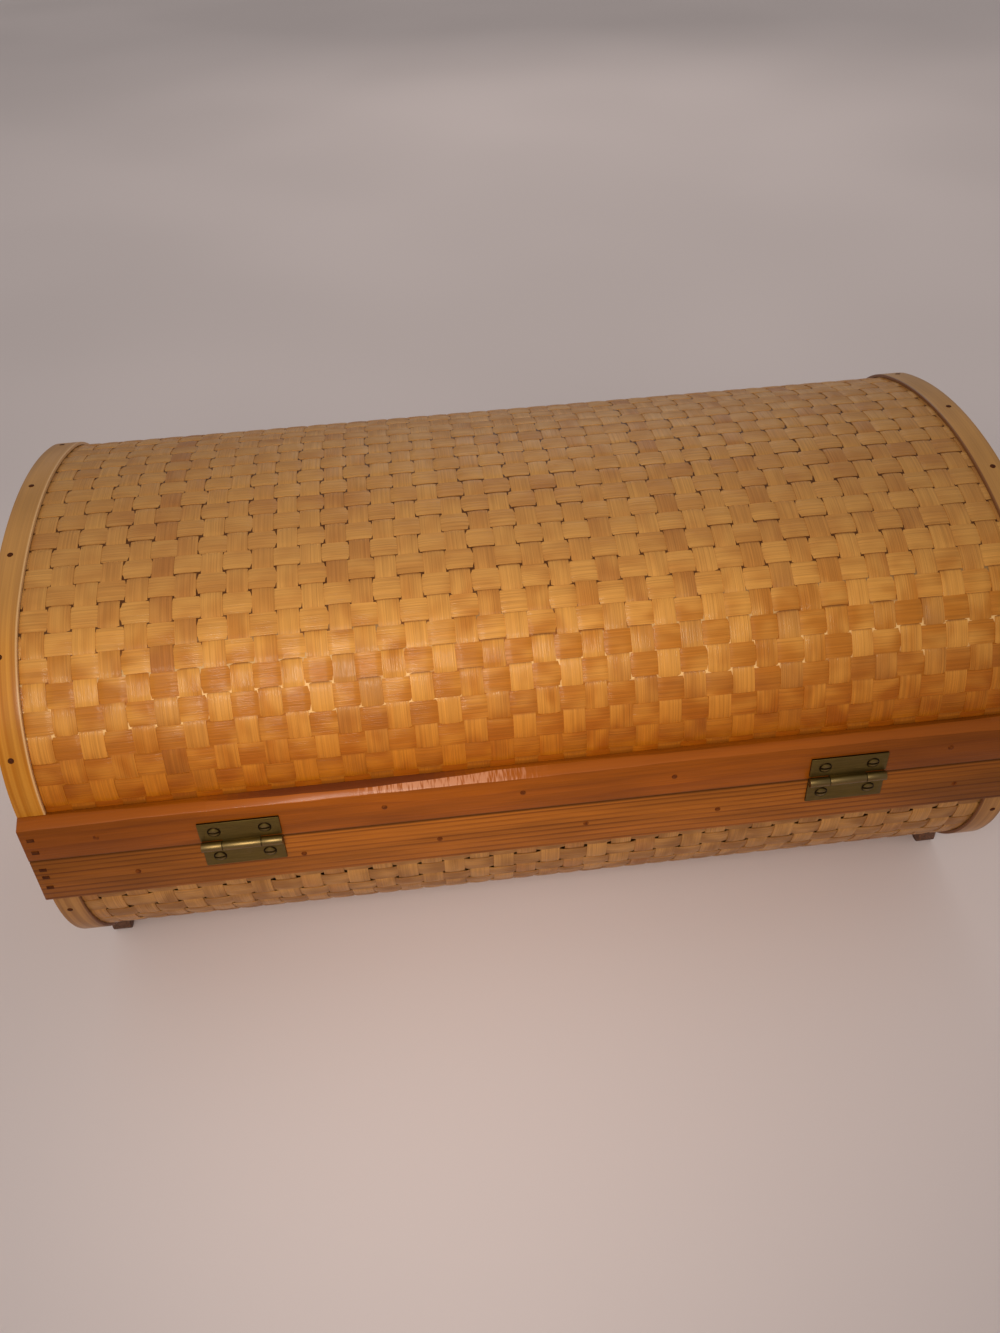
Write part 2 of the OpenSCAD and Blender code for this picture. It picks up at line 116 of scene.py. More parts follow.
# How splints differ: wave lengths of their strays in metres, widths, tones and tints
STRAY_WAVES = (0.12, 0.3)
WIDTH_CHANGES = (0.965, 1.03)
TONES = (0.15, 0.85)
ROW_TINTS = (0, 0.75)
COLUMN_TINTS = (0, 0.9)
# How much lighter rows are on top and columns low down, and between which shares of the
# way from the crown to the rails the one turns into the other
ROWS_LIGHTER = 0.15
COLUMNS_LIGHTER = 0.25
LIGHTNESS_TURNS = (0.4, 0.7)
# How the hand plane wandered along the lid's rails: share, turns per metre and start
PLANING_WAVES = ((0.55, 3.3, 0.6), (0.3, 9.1, 2.1), (0.22, 21.2, 0.0), (0.18, 47.9, 1.3))
# The growth rings in each kind of pine piece: their spacing in millimetres, how much they
# waver, how far their late wood darkens, and the axis that the grain follows
RINGS = {
    "lid_rail": (4.0, 6.0, 0.4, "X"),
    "base_rail": (2.4, 1.2, 0.75, "X"),
    "board": (4.2, 6.0, 0.85, "Y"),
    "batten": (3.6, 2.5, 0.7, "X"),
}

# Parts that flat work is cut into so that it can bend or wander: from one crossing of
# splints to the next, across a splint or the varnish film, and along the film
CROSSING_PARTS = 8
SPLINT_PARTS = 3
FILM_PARTS = 120
# Cuts along a rail, and along and across a hoop
RAIL_CUTS = 230
HOOP_CUTS = 120
HOOP_SIDE_CUTS = 3
# How far the splints and the varnish film stay inside the panel's ends
SPLINT_INSET = 0.0006
FILM_INSET = 0.001
# Places that differ by less than this are the same
NEAR = 1e-5

# Each light's place, aim, width, spread in degrees and tint
LIGHTS = {
    "room": ((0.30, 0.95, 0.95), (0, 0, PARTING), 0.8, 180, (1.0, 0.95, 0.89)),
    "window": ((-0.30, -1.70, 1.00), (0, 0, PARTING), 0.9, 180, (1.0, 0.94, 0.88)),
    "lamp": ((0.16, 0.62, 0.58), (0.03, 0.08, 0.14), 0.22, 66, (1.0, 0.92, 0.82)),
}
SKY_TINT = (1.0, 0.985, 0.97, 1.0)

# Sockets of a Mix node that mixes colours, which share their names with its other kinds
MIX_FACTOR, MIX_FIRST, MIX_SECOND, MIX_RESULT = 0, 6, 7, 2


def linear(hex_colour):
    """Linear light and full alpha from an sRGB hex colour, as shader sockets take it."""
    channels = [int(hex_colour[start:start + 2], 16) / 255 for start in (1, 3, 5)]
    light = [c / 12.92 if c <= 0.04045 else ((c + 0.055) / 1.055) ** 2.4 for c in channels]
    return [*light, 1.0]


def length(name, description, default):
    """A length that the user may change, in metres."""
    return bpy.props.FloatProperty(
        name=name, description=description, default=default, min=0, unit="LENGTH", precision=5
    )


def place(name, description, default):
    """A place along an axis, in metres, on either side of zero."""
    return bpy.props.FloatProperty(
        name=name, description=description, default=default, unit="LENGTH", precision=5
    )


def turn(name, description, default):
    """An angle, in radians."""
    return bpy.props.FloatProperty(
        name=name, description=description, default=default, unit="ROTATION"
    )


def share(name, description, default):
    """A plain number, such as a share of something else."""
    return bpy.props.FloatProperty(name=name, description=description, default=default)


def width_pair(name, *default):
    """The widths of a set of splints on top of the trunk and beside its rails."""
    return bpy.props.FloatVectorProperty(
        name=name, description="Widths on top and beside the rails, as shares of the pitch",
        default=default, size=2,
    )


def colour(name, description, default):
    """A colour that the user may change, given as sRGB hex."""
    return bpy.props.FloatVectorProperty(
        name=name, description=description, default=linear(default),
        size=4, min=0, max=1, subtype="COLOR",
    )


class WeaveSizes(bpy.types.PropertyGroup):
    """Sizes of the two woven panels."""

    shoulder_share: share(
        "Shoulder", "Radius of the curve beside the rails, as a share of the rise", 0.915
    )
    splint_thickness: length("Splint thickness", "Thickness of one split bamboo strip", 0.0005)
    crimp: length("Crimp", "Height of each rise and fall about the middle", 0.00034)
    squareness: share("Squareness", "How gently a splint passes from over to under", 0.32)
    camber: length("Camber", "Rise of a splint's middle over its even height", 0.00014)
    stray: length("Stray", "How far a splint strays from its even place", 0.0003)
    film_thickness: length("Film", "Thickness of the varnish that fills the lid's holes", 0.0001)
    # The share below is the most painted shade with grime in the lid weave's low places
    lid_dirt: share("Lid dirt", "How dirty the lid's weave is where it is dirtiest", 0.95)
    lid_column_widths: width_pair("Lid column widths", 0.82, 0.93)
    lid_column_pitch: length("Lid column pitch", "Spacing of the lid's columns", 0.010835)
    lid_column: place("Lid column", "Place of a crossing column on the lid", 0.201183)
    lid_row_widths: width_pair("Lid row widths", 0.9, 0.95)
    lid_row_pitch: length("Lid row pitch", "Spacing of the lid's rows", 0.0113)
    lid_row: place("Lid row", "Place of a crossing row above the lid's back rail", 0.008326)
    # The share below is the most painted shade with grime in the base weave's low places
    base_dirt: share("Base dirt", "How dirty the base's weave is where it is dirtiest", 0.75)
    base_column_widths: width_pair("Base column widths", 0.83, 0.83)
    base_column_pitch: length("Base column pitch", "Spacing of the base's columns", 0.01157)
    base_column: place("Base column", "Place of a crossing column on the base", 0.134775)
    base_row_widths: width_pair("Base row widths", 0.83, 0.83)
    base_row_pitch: length("Base row pitch", "Spacing of the base's rows", 0.0115)
    base_row: place("Base row", "Place of a crossing row below the base's back rail", 0.0072)


class WoodSizes(bpy.types.PropertyGroup):
    """Sizes of the planed and bent wooden pieces."""

    planed_depth: length("Planed depth", "Depth of the slope planed along the lid rails", 0.0046)
    planed_drop: length("Planed drop", "Height of that slope", 0.002)
    planed_flare: length("Planed flare", "How much wider that slope is at the rails' ends", 0.0018)
    planing_stray: length("Planing stray", "How far the plane strayed", 0.0005)
    rail_wear: length("Rail wear", "Radius worn onto the rails' edges", 0.0006)
    ledge_depth: length("Ledge depth", "How much of the back rail's top the plane left", 0.0024)
    # The ledge's middle and reach also place its painted shade with grime
    ledge_middle: place("Ledge middle", "Middle of that ledge along the trunk", 0.088)
    ledge_reach: length("Ledge reach", "Half length of that ledge", 0.068)
    # The next two place the painted glints and the crazing on the back rail's slope
    crazed_glint_middle: place("Crazed middle", "Middle of the whitened part of the slope", 0.044)
    crazed_glint_reach: length("Crazed reach", "Half length of that part", 0.058)
    hoop_wear: length("Hoop wear", "Radius worn onto the hoops' edges", 0.0004)
    board_wear: length("Board wear", "Radius worn onto the boards' edges", 0.0005)


class MetalSizes(bpy.types.PropertyGroup):
    """Sizes of the edges of the small metal pieces."""

    leaf_edge: length("Leaf edge", "Rounding of the hinge leaves' edges", 0.00018)
    stud_edge: length("Stud edge", "Rounding of the studs, pins and screws", 0.00015)
    nail_edge: length("Nail edge", "Rounding of the nail heads", 0.00012)


class TrunkColours(bpy.types.PropertyGroup):
    """Colours of the trunk's materials."""

    splint_honey: colour("Splint honey", "Lightest splints of the lid", "#d09041")
    splint_amber: colour("Splint amber", "Usual splints of the lid", "#b36d22")
    splint_russet: colour("Splint russet", "Reddish splints", "#965a2c")
    splint_bleached: colour("Splint bleached", "Bamboo on top of the lid, greyed", "#b3844c")
    splint_pale: colour("Splint pale", "Splints of the base, less varnished", "#b57f44")
    splint_tan: colour("Splint tan", "Darker splints of the base", "#936233")
    # The next two colours paint shade with grime into the weave's low places: amber near the rails
    # on the lid, brown elsewhere
    shade_and_varnish_amber: colour("Seam amber", "Varnish in the weave's low places near the rails", "#84470f")
    shade_and_dirt_brown: colour("Seam brown", "Varnish and dirt in its low places elsewhere", "#653a1c")
    film_amber: colour("Film amber", "Varnish that fills the holes low on the lid", "#a05c16")
    # Painted light on the film: a band of highlights low on the lid, and shade in the holes on top
    film_highlight: colour("Film bead", "Varnish that beaded in the holes above those", "#e6b676")
    film_shade: colour("Film brown", "Varnish and dirt in the holes on top", "#532f13")
    run_down: colour("Run down", "Tint of the thick varnish low on the lid", "#dab65c")
    lid_rail_light: colour("Lid rail light", "Early wood of the lid rails", "#934b08")
    lid_rail_dark: colour("Lid rail dark", "Late wood of the lid rails", "#703204")
    base_rail_light: colour("Base rail light", "Early wood of the base rails", "#9c5818")
    base_rail_dark: colour("Base rail dark", "Late wood of the base rails", "#6d3508")
    rail_planed: colour("Rail planed", "Wood that the hand plane laid bare", "#a8591c")
    # Painted glints on the slope, then painted shade with grime on the ledge and along the parting
    rail_film: colour("Rail film", "Whitened varnish on the planed wood", "#d89a76")
    rail_dirt: colour("Rail dirt", "Dirt between the planed wood and the weave", "#653018")
    parting_shade_and_dirt: colour("Parting dirt", "Dirt along the parting of the rails", "#5e330e")
    board_light: colour("Board light", "Early wood of the end boards", "#bd8343")
    board_dark: colour("Board dark", "Late wood of the end boards", "#945a25")
    batten_light: colour("Batten light", "Early wood of the battens", "#c89c66")
    batten_dark: colour("Batten dark", "Late wood of the battens", "#a5713d")
    hoop_light: colour("Hoop light", "Light streaks of the lid's hoops", "#c8852c")
    hoop_dark: colour("Hoop dark", "Dark streaks of the lid's hoops", "#ab6612")
    # Painted colours of the hoops' inner cut edges: a highlight on the lid's left hoop, shade on
    # the others
    hoop_edge_highlight: colour("Hoop edge pale", "Cut edge of the lid's left hoop", "#d6a874")
    hoop_edge_shade: colour("Hoop edge dark", "Cut edges of the other hoops", "#6b4028")
    runner_light: colour("Runner light", "Light streaks of the runners", "#70452a")
    runner_dark: colour("Runner dark", "Dark streaks of the runners", "#432512")
    brass_bright: colour("Brass bright", "Brass where it is rubbed", "#7f6942")
    brass_dull: colour("Brass dull", "Tarnished brass", "#6f5c30")
    # Grime in the brass's corners; round the foot of each screw head it is painted shade
    brass_grime_and_shade: colour("Brass grime", "Dirt in the corners of the brass", "#2a1c0c")
    nail_dark: colour("Nail dark", "Blackened iron of the nails", "#3f1b07")
    nail_rust: colour("Nail rust", "Rusty iron of the nails", "#5a2c0c")
    nail_sunk_dark: colour("Sunk nail dark", "The same under the rails' varnish", "#5e2b0a")
    nail_sunk_rust: colour("Sunk nail rust", "The same, where it is rusty", "#814312")
    cloth: colour("Cloth", "The pale floor", "#e6d7d4")


class StageSizes(bpy.types.PropertyGroup):
    """The camera, the floor and the lights."""

    camera_place: bpy.props.FloatVectorProperty(
        name="Camera place", description="Where the camera stands",
        default=(0.04555, 0.49407, 0.50486), size=3, subtype="XYZ", unit="LENGTH",
    )
    camera_yaw: turn("Camera yaw", "Turn from straight ahead", -0.079)
    camera_pitch: turn("Camera pitch", "Tilt below level", 0.687)
    camera_roll: turn("Camera roll", "Lean to one side", -0.048)
    camera_lens: share("Camera lens", "Focal length in mm, on a 36 mm long side", 31.25)
    floor_reach: length("Floor reach", "Half width of the floor", 6.0)
    sky_strength: share("Sky strength", "Light from all round", 0.36)
    room_power: share("Room power", "Power of the broad light behind the camera, in watts", 2.2)
    window_power: share("Window power", "Power of the soft light from the far side, in watts", 3.2)
    lamp_power: share("Lamp power", "Power of the small light beside the camera, in watts", 0.47)


def select_none():
    """Nothing stays selected, because an operator acts on all that is."""
    bpy.ops.object.select_all(action="DESELECT")


def make_active(piece):
    """The one selected and active object."""
    select_none()
    piece.select_set(True)
    bpy.context.view_layer.objects.active = piece


def select_edges(piece, test):
    """In edit mode, selects the edges whose two ends pass a test, and nothing else."""
    bpy.ops.mesh.select_mode(type="EDGE")
    bpy.ops.mesh.select_all(action="DESELECT")
    work = bmesh.from_edit_mesh(piece.data)
    for edge in work.edges:
        edge.select_set(test(edge.verts[0].co, edge.verts[1].co))
    bmesh.update_edit_mesh(piece.data)


def edit_all(piece):
    """Opens a piece in edit mode with all of it selected."""
    make_active(piece)
    bpy.ops.object.mode_set(mode="EDIT")
    bpy.ops.mesh.select_all(action="SELECT")


def new_box(name, low, high):
    """A box primitive at its size and place, left in edit mode."""
    select_none()
    middle = (Vector(low) + Vector(high)) / 2
    bpy.ops.mesh.primitive_cube_add(size=1, location=middle)
    piece = bpy.context.object
    piece.name = name
    bpy.ops.object.transform_apply(location=True, rotation=False, scale=False)
    edit_all(piece)
    bpy.ops.transform.resize(
        value=Vector(high) - Vector(low), center_override=middle, orient_type="GLOBAL"
    )
    return piece


def read_points(mesh):
    """The mesh's points as an array, one row each."""
    points = np.empty(len(mesh.vertices) * 3)
    mesh.vertices.foreach_get("co", points)
    return points.reshape(-1, 3)


def write_points(mesh, points):
    """Puts the mesh's points where the array says."""
    mesh.vertices.foreach_set("co", points.astype(np.float32).ravel())
    mesh.update()


def lay_grain(mesh, along, across):
    """A UV map in metres, with the grain along u, from values for each point."""
    while mesh.uv_layers:
        mesh.uv_layers.remove(mesh.uv_layers[0])
    layer = mesh.uv_layers.new(name="grain")
    corners = np.empty(len(mesh.loops), dtype=np.int32)
    mesh.loops.foreach_get("vertex_index", corners)
    flat = np.column_stack([along[corners], across[corners]])
    layer.uv.foreach_set("vector", flat.astype(np.float32).ravel())


def mark(mesh, domain, name, values):
    """A number for each point or face, which a material reads by its name."""
    layer = mesh.attributes.new(name, "FLOAT", domain)
    layer.data.foreach_set("value", np.broadcast_to(values, len(layer.data)).astype(np.float32))


def smooth(piece, degrees=35):
    """Smooth shading, with creases kept sharp."""
    make_active(piece)
    bpy.ops.object.shade_smooth_by_angle(angle=math.radians(degrees))


def apply_modifier(piece, kind, **settings):
    """Adds a modifier with its settings and applies it."""
    make_active(piece)
    modifier = piece.modifiers.new(kind.title(), kind)
    for name, value in settings.items():
        setattr(modifier, name, value)
    bpy.ops.object.modifier_apply(modifier=modifier.name)


def wear_edges(piece, radius, degrees):
    """Rounds the edges at which faces meet at more than an angle."""
    apply_modifier(
        piece, "BEVEL", width=radius, segments=2, limit_method="ANGLE",
        angle_limit=math.radians(degrees), use_clamp_overlap=True,
    )
    smooth(piece)


def face_outwards(piece):
    """Turns every face out, after a bend that may have turned the shape inside out."""
    edit_all(piece)
    bpy.ops.mesh.normals_make_consistent(inside=False)
    bpy.ops.object.mode_set(mode="OBJECT")


def finish_piece(piece, material, body, node):
    """Gives a piece its material and its body, and hides the CAD node that it stands for."""
    piece.data.materials.clear()
    piece.data.materials.append(material)
    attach(piece, body)
    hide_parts(node)


def join(pieces, name):
    """Several pieces as one object."""
    make_active(pieces[0])
    for piece in pieces:
        piece.select_set(True)
    bpy.ops.object.join()
    joined = bpy.context.object
    joined.name = name
    return joined


def softened_copy(node, name, radius):
    """A copy of a CAD node with its triangles merged and its sharp edges rounded."""
    piece = frame["nodes"][node].copy()
    piece.data = piece.data.copy()
    piece.parent = None
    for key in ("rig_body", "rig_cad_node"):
        del piece[key]
    piece.name = name
    bpy.context.scene.collection.objects.link(piece)
    edit_all(piece)
    bpy.ops.mesh.remove_doubles(threshold=1e-6)
    bpy.ops.mesh.dissolve_limited(angle_limit=math.radians(1))
    bpy.ops.object.mode_set(mode="OBJECT")
    wear_edges(piece, radius, 30)
    return piece


def dress_copies(made, radius, material, *pieces):
    """Softened copies of CAD nodes, each given with its body and its slot; the slot is not used.
    """
    for node, body, slot in pieces:
        finish_piece(softened_copy(node, f"{made}_{node}", radius), material, body, node)


class Arch:
    """The curve of the lid or the base: a crown arc between two tangent shoulder arcs.

    Lengths along it start at the back springing line and run on straight past both
    springing lines, down behind the rails. Heights off it are measured from the face
    that lies at grow outside the weave's outer face.
    """

    def __init__(self, rise, springing, upwards, grow):
        self.rise = rise
        self.springing = springing
        self.upwards = upwards
        self.grow = grow
        self.shoulder = bpy.context.scene.trunk_weave.shoulder_share * rise
        self.offset = HALF_SPAN - self.shoulder
        self.crown = (self.offset**2 + rise**2 - self.shoulder**2) / (2 * (rise - self.shoulder))
        self.turn = math.atan2(self.crown - rise, self.offset)
        self.side = (self.shoulder + grow) * self.turn
        self.total = 2 * self.side + (self.crown + grow) * (math.pi - 2 * self.turn)

    def bend(self, flat):
        """Points given as place along X, length along the arch and height off it."""
        x, along, off = flat.T
        inside = np.clip(along, 0, self.total)
        past = along - inside
        angle = np.select(
            [inside < self.side, inside < self.total - self.side],
            [
                inside / (self.shoulder + self.grow),
                self.turn + (inside - self.side) / (self.crown + self.grow),
            ],
            math.pi - (self.total - inside) / (self.shoulder + self.grow),
        )
        on_crown = (angle > self.turn) & (angle < math.pi - self.turn)
        radius = np.where(on_crown, self.crown, self.shoulder) + self.grow + off
        middle = np.where(on_crown, 0, np.where(angle < math.pi / 2, self.offset, -self.offset))
        y = middle + radius * np.cos(angle)
        z = np.where(on_crown, self.rise - self.crown, 0) + radius * np.sin(angle) - np.abs(past)
        return np.column_stack([x, y, self.springing + self.upwards * z])


def lid_arch(grow):
    """The lid's curve, at a distance outside the weave."""
    return Arch(PANEL_HIGH.z - RAIL_TOP, RAIL_TOP, 1, grow)


def base_arch(grow):
    """The base's curve, at a distance outside the weave."""
    return Arch(RAIL_FOOT - BOWL_LOW.z, RAIL_FOOT, -1, grow)


def add_node(tree, kind, output, inputs=(), **settings):
    """Adds a shader node with its settings, and returns one of its outputs.

    The inputs go by name, or in the node's own order. Each gets a plain value, or a
    link where its value is another node's output.
    """
    node = tree.nodes.new(kind)
    for name, value in settings.items():
        setattr(node, name, value)
    for name, value in inputs.items() if isinstance(inputs, dict) else enumerate(inputs):
        if isinstance(value, bpy.types.NodeSocket):
            tree.links.new(value, node.inputs[name])
        else:
            node.inputs[name].default_value = value
    return None if output is None else node.outputs[output]


def start_material(name):
    """An empty node material, its tree and the place on the object that it colours."""
    material = bpy.data.materials.new(name)
    material.use_nodes = True
    tree = material.node_tree
    tree.nodes.clear()
    return material, tree, add_node(tree, "ShaderNodeTexCoord", "Object")


def streaks(tree, source, long, wide, detail=3.0):
    """Noise drawn out along the grain: its features' length and width in millimetres."""
    stretched = add_node(tree, "ShaderNodeMapping", "Vector", {
        "Vector": source, "Scale": (1000 / long, 1000 / wide, 1000 / wide),
    })
    return add_node(tree, "ShaderNodeTexNoise", "Fac", {
        "Vector": stretched, "Scale": 1.0, "Detail": detail, "Roughness": 0.6,
    })


def blended(tree, pattern, start, end, first, second, most=1.0, blend_type="MIX"):
    """Runs from one colour to another as a pattern's value goes from start to end."""
    amount = add_node(
        tree, "ShaderNodeMapRange", "Result", (pattern, start, end, 0.0, most),
        interpolation_type="SMOOTHSTEP",
    )
    return add_node(tree, "ShaderNodeMix", MIX_RESULT, {
        MIX_FACTOR: amount, MIX_FIRST: first, MIX_SECOND: second,
    }, data_type="RGBA", blend_type=blend_type)


def shaded(tree, base, pattern, first, last, start=0.32, end=0.66):
    """Multiplies a colour by first to last as a pattern goes from start to end.

    Where these two aren't given, they are the usual lows and highs of a noise.
    """
    shade = add_node(
        tree, "ShaderNodeMapRange", "Result", (pattern, start, end, first, last),
        interpolation_type="SMOOTHSTEP",
    )
    return add_node(tree, "ShaderNodeMix", MIX_RESULT, {
        MIX_FACTOR: 1.0, MIX_FIRST: base, MIX_SECOND: shade,
    }, data_type="RGBA", blend_type="MULTIPLY")


def set_surface(tree, inputs):
    """Ends a material: the surface shader with its inputs, joined to the output."""
    surface = add_node(tree, "ShaderNodeBsdfPrincipled", "BSDF", inputs)
    add_node(tree, "ShaderNodeOutputMaterial", None, {"Surface": surface})


def set_uneven_surface(tree, base, rough, relief, others, coat_too=False):
    """Ends a material whose roughness follows a pattern and whose surface has relief.

    rough holds the pattern, two of its values and the roughness at each. relief holds
    a pattern, the strength of its bumps and their height in metres.
    """
    gloss = add_node(
        tree, "ShaderNodeMapRange", "Result", rough, interpolation_type="SMOOTHSTEP"
    )
    pattern, strength, rise = relief
    uneven = add_node(tree, "ShaderNodeBump", "Normal", {
        "Strength": strength, "Distance": rise, "Height": pattern,
    })
    inputs = {"Base Color": base, "Roughness": gloss, "Normal": uneven, **others}
    if coat_too:
        inputs["Coat Normal"] = uneven
    set_surface(tree, inputs)


def split_bamboo(name, colours, usual, lightest, varnished):
    """Split bamboo under amber varnish.

    Fine straight fibre lines run along each splint, no two splints have quite the same
    tone, painted shade with grime darkens the low places, and the film gives a soft sheen.
    On the varnished lid, light has greyed the top, and low down the varnish ran thick and
    orange.
    """
    material, tree, here = start_material(name)
    height = add_node(tree, "ShaderNodeSeparateXYZ", "Z", {"Vector": here})
    grain = add_node(tree, "ShaderNodeUVMap", "UV", uv_map="grain")
    # Each splint's own tone and tint, and how much painted shade and grime lie on each place of it
    tone, tint, low = (
        add_node(tree, "ShaderNodeAttribute", "Fac", attribute_name=mark_name)
        for mark_name in ("tone", "tint", "low")
    )
    # Fibres of about 1 mm, coarser than real ones so that they show
    fibres = streaks(tree, grain, 140, 1.2)
    fine_fibres = streaks(tree, grain, 40, 0.6, 2.0)
    drift = streaks(tree, grain, 18, 11, 1.0)
    patches = streaks(tree, grain, 30, 20, 1.0)
    tone = add_node(tree, "ShaderNodeMath", 0, (drift, 2.8, tone), operation="MULTIPLY_ADD")
    tint = add_node(tree, "ShaderNodeMath", 0, (tint, patches), operation="ADD")

    base = blended(tree, tone, 1.3, 2.5, usual, lightest)
    if varnished:
        base = blended(tree, height, *GREYED_TOP, base, colours.splint_bleached, 0.7)
    base = blended(tree, tint, 1.0, 1.6, base, colours.splint_russet, 0.6)
    # Colour of the painted shade with grime in the low places: brown, and amber near the lid's
    # rails
    dirt_and_shade = colours.shade_and_dirt_brown
    if varnished:
        base = blended(
            tree, height, *THICK_VARNISH, base, colours.run_down, blend_type="MULTIPLY"
        )
        dirt_and_shade = blended(tree, height, *BROWNER_SHADE_AND_DIRT, colours.shade_and_varnish_amber, dirt_and_shade)
    base = shaded(tree, base, fibres, 0.91, 1.05)
    base = shaded(tree, base, fine_fibres, 0.9, 1.06)
    # Painted shade with grime, as much as the low mark says
    base = blended(tree, low, 0.3, 0.8, base, dirt_and_shade, 0.85)
    set_uneven_surface(
        tree, base, (drift, 0.3, 0.7, 0.54, 0.36), (fine_fibres, 1.0, 0.00026),
        {"Specular IOR Level": 0.1, "Coat Weight": 0.13, "Coat Roughness": 0.14},
        coat_too=True,
    )
    return material


def painted_hole_film(colours):
    """Varnish in the holes of the weave: amber low down, painted highlights above, then painted
    shade.
    """
    material, tree, here = start_material("pooled_varnish")
    height = add_node(tree, "ShaderNodeSeparateXYZ", "Z", {"Vector": here})
    dimples = streaks(tree, here, 1.2, 1.2, 1.0)
    patches = streaks(tree, here, 45, 12, 1.0)
    # Amber varnish low down, turning into a band of painted highlights
    base = blended(tree, height, *PAINTED_GLINTS, colours.film_amber, colours.film_highlight)
    base = blended(tree, patches, 0.5, 0.56, base, colours.film_amber)
    # Painted shade in the holes on top
    base = blended(tree, height, *SHADED_HOLES, base, colours.film_shade)
    set_surface(tree, {
        "Base Color": base,
        "Roughness": 0.4,
        "Specular IOR Level": 0.12,
        "Normal": add_node(tree, "ShaderNodeBump", "Normal", {
            "Strength": 1.0, "Distance": 0.0003, "Height": dimples,
        }),
    })
    return material


def growth_rings(tree, here, pith, spacing, waver, grain_axis):
    """Late wood, from 0 to 1, in rings round a pith line that lies off the board."""
    away = add_node(tree, "ShaderNodeVectorMath", "Vector", (here, pith), operation="SUBTRACT")
    rings = add_node(tree, "ShaderNodeTexWave", "Fac", {
        "Vector": away,
        # A wave texture turns once in 2 pi / 20 of its own units
        "Scale": 2 * math.pi / 20 * 1000 / spacing,
        "Distortion": waver,
        "Detail": 1.0,
        "Detail Scale": 0.12,
    }, wave_type="RINGS", rings_direction=grain_axis, wave_profile="SAW")
    return add_node(
        tree, "ShaderNodeMapRange", "Result", (rings, 0.4, 0.97, 0.0, 1.0),
        interpolation_type="SMOOTHSTEP",
    )


def rail_painted_shade(tree, here, base, dirt_and_shade):
    """Painted shade on a rail: a dark line of shade and grime along the parting, and a
    darkening towards the ends.
    """
    spot = add_node(tree, "ShaderNodeVectorMath", "Vector", (here,), operation="ABSOLUTE")
    from_middle, out, up = (
        add_node(tree, "ShaderNodeSeparateXYZ", axis, {"Vector": spot}) for axis in "XYZ"
    )
    # Painted shade that darkens the rail towards its ends
    base = shaded(tree, base, from_middle, 1.0, END_SHADE, *SHADED_ENDS)
    # A dark line of painted shade and grime along the parting
    over = add_node(tree, "ShaderNodeMath", 0, (up, PARTING), operation="SUBTRACT")
    aside = add_node(tree, "ShaderNodeMath", 0, (over,), operation="ABSOLUTE")
    inward = add_node(tree, "ShaderNodeMath", 0, (HALF_DEPTH, out), operation="SUBTRACT")
    away = add_node(tree, "ShaderNodeMath", 0, (aside, inward), operation="MAXIMUM")
    return blended(tree, away, *PARTING_LINE, dirt_and_shade, base)


def hand_planed(tree, here, base, relief, colours):
    """The slope that a last stroke of the plane laid bare: its colour and its relief.

    The film over the paler wood shows crazing across it, with painted glints on it in
    places, and painted shade with grime lies on the ledge behind it.
    """
    bare, crazed, dirty = (
        add_node(tree, "ShaderNodeAttribute", "Fac", attribute_name=mark_name)
        for mark_name in ("planed", "crazed", "dirty")
    )
    crazing = streaks(tree, here, 0.9, 6, 1.0)
    broken = add_node(tree, "ShaderNodeMath", 0, (crazing, crazed), operation="MULTIPLY")
    relief = add_node(tree, "ShaderNodeMath", 0, (broken, 6.0, relief), operation="MULTIPLY_ADD")
    base = blended(tree, bare, 0.0, 1.0, base, colours.rail_planed, 0.42)
    # Painted glints on the film, where it shows crazing
    base = blended(tree, broken, 0.26, 0.5, base, colours.rail_film, 0.55)
    # Painted shade with grime on the ledge behind the slope
    base = blended(tree, dirty, 0.0, 0.8, base, colours.rail_dirt, 0.85)
    return base, relief


def pine(name, colours, cut, pith):
    """Pine, planed and varnished: dark late-wood lines between wide light bands.

    The film pools unevenly, so the sheen and the warmth change slowly along a piece.
    """
    spacing, waver, contrast, grain_axis = RINGS[cut]
    material, tree, here = start_material(name)
    turned = here
    if grain_axis == "Y":
        turned = add_node(tree, "ShaderNodeMapping", "Vector", {
            "Vector": here, "Rotation": (0, 0, math.pi / 2),
        })
    pores = streaks(tree, turned, 30, 0.7)
    clouds = streaks(tree, turned, 90, 11, 2.0)
    figure = streaks(tree, turned, 120, 5, 2.0)
    late_wood = growth_rings(tree, here, pith, spacing, waver, grain_axis)
    strength = add_node(
        tree, "ShaderNodeMapRange", "Result", (figure, 0.3, 0.6, contrast * 0.45, contrast),
        interpolation_type="SMOOTHSTEP",
    )
    amount = add_node(tree, "ShaderNodeMath", 0, (late_wood, strength), operation="MULTIPLY")
    relief = add_node(tree, "ShaderNodeMath", 0, (pores, late_wood), operation="ADD")
    light, dark = (getattr(colours, f"{cut}_{tone}") for tone in ("light", "dark"))
    base = blended(tree, amount, 0.0, 1.0, light, dark)
    base = shaded(tree, base, clouds, 0.84, 1.12)
    base = shaded(tree, base, pores, 0.88, 1.05)
    if cut.endswith("rail"):
        # Painted shade along the parting and towards the rails' ends
        base = rail_painted_shade(tree, here, base, colours.parting_shade_and_dirt)
    if cut == "lid_rail":
        base, relief = hand_planed(tree, here, base, relief, colours)
    set_uneven_surface(
        tree, base, (clouds, 0.3, 0.7, 0.5, 0.36), (relief, 0.5, 0.00012),
        {"Specular IOR Level": 0.12, "Coat Weight": 0.1, "Coat Roughness": 0.14},
    )
    return material


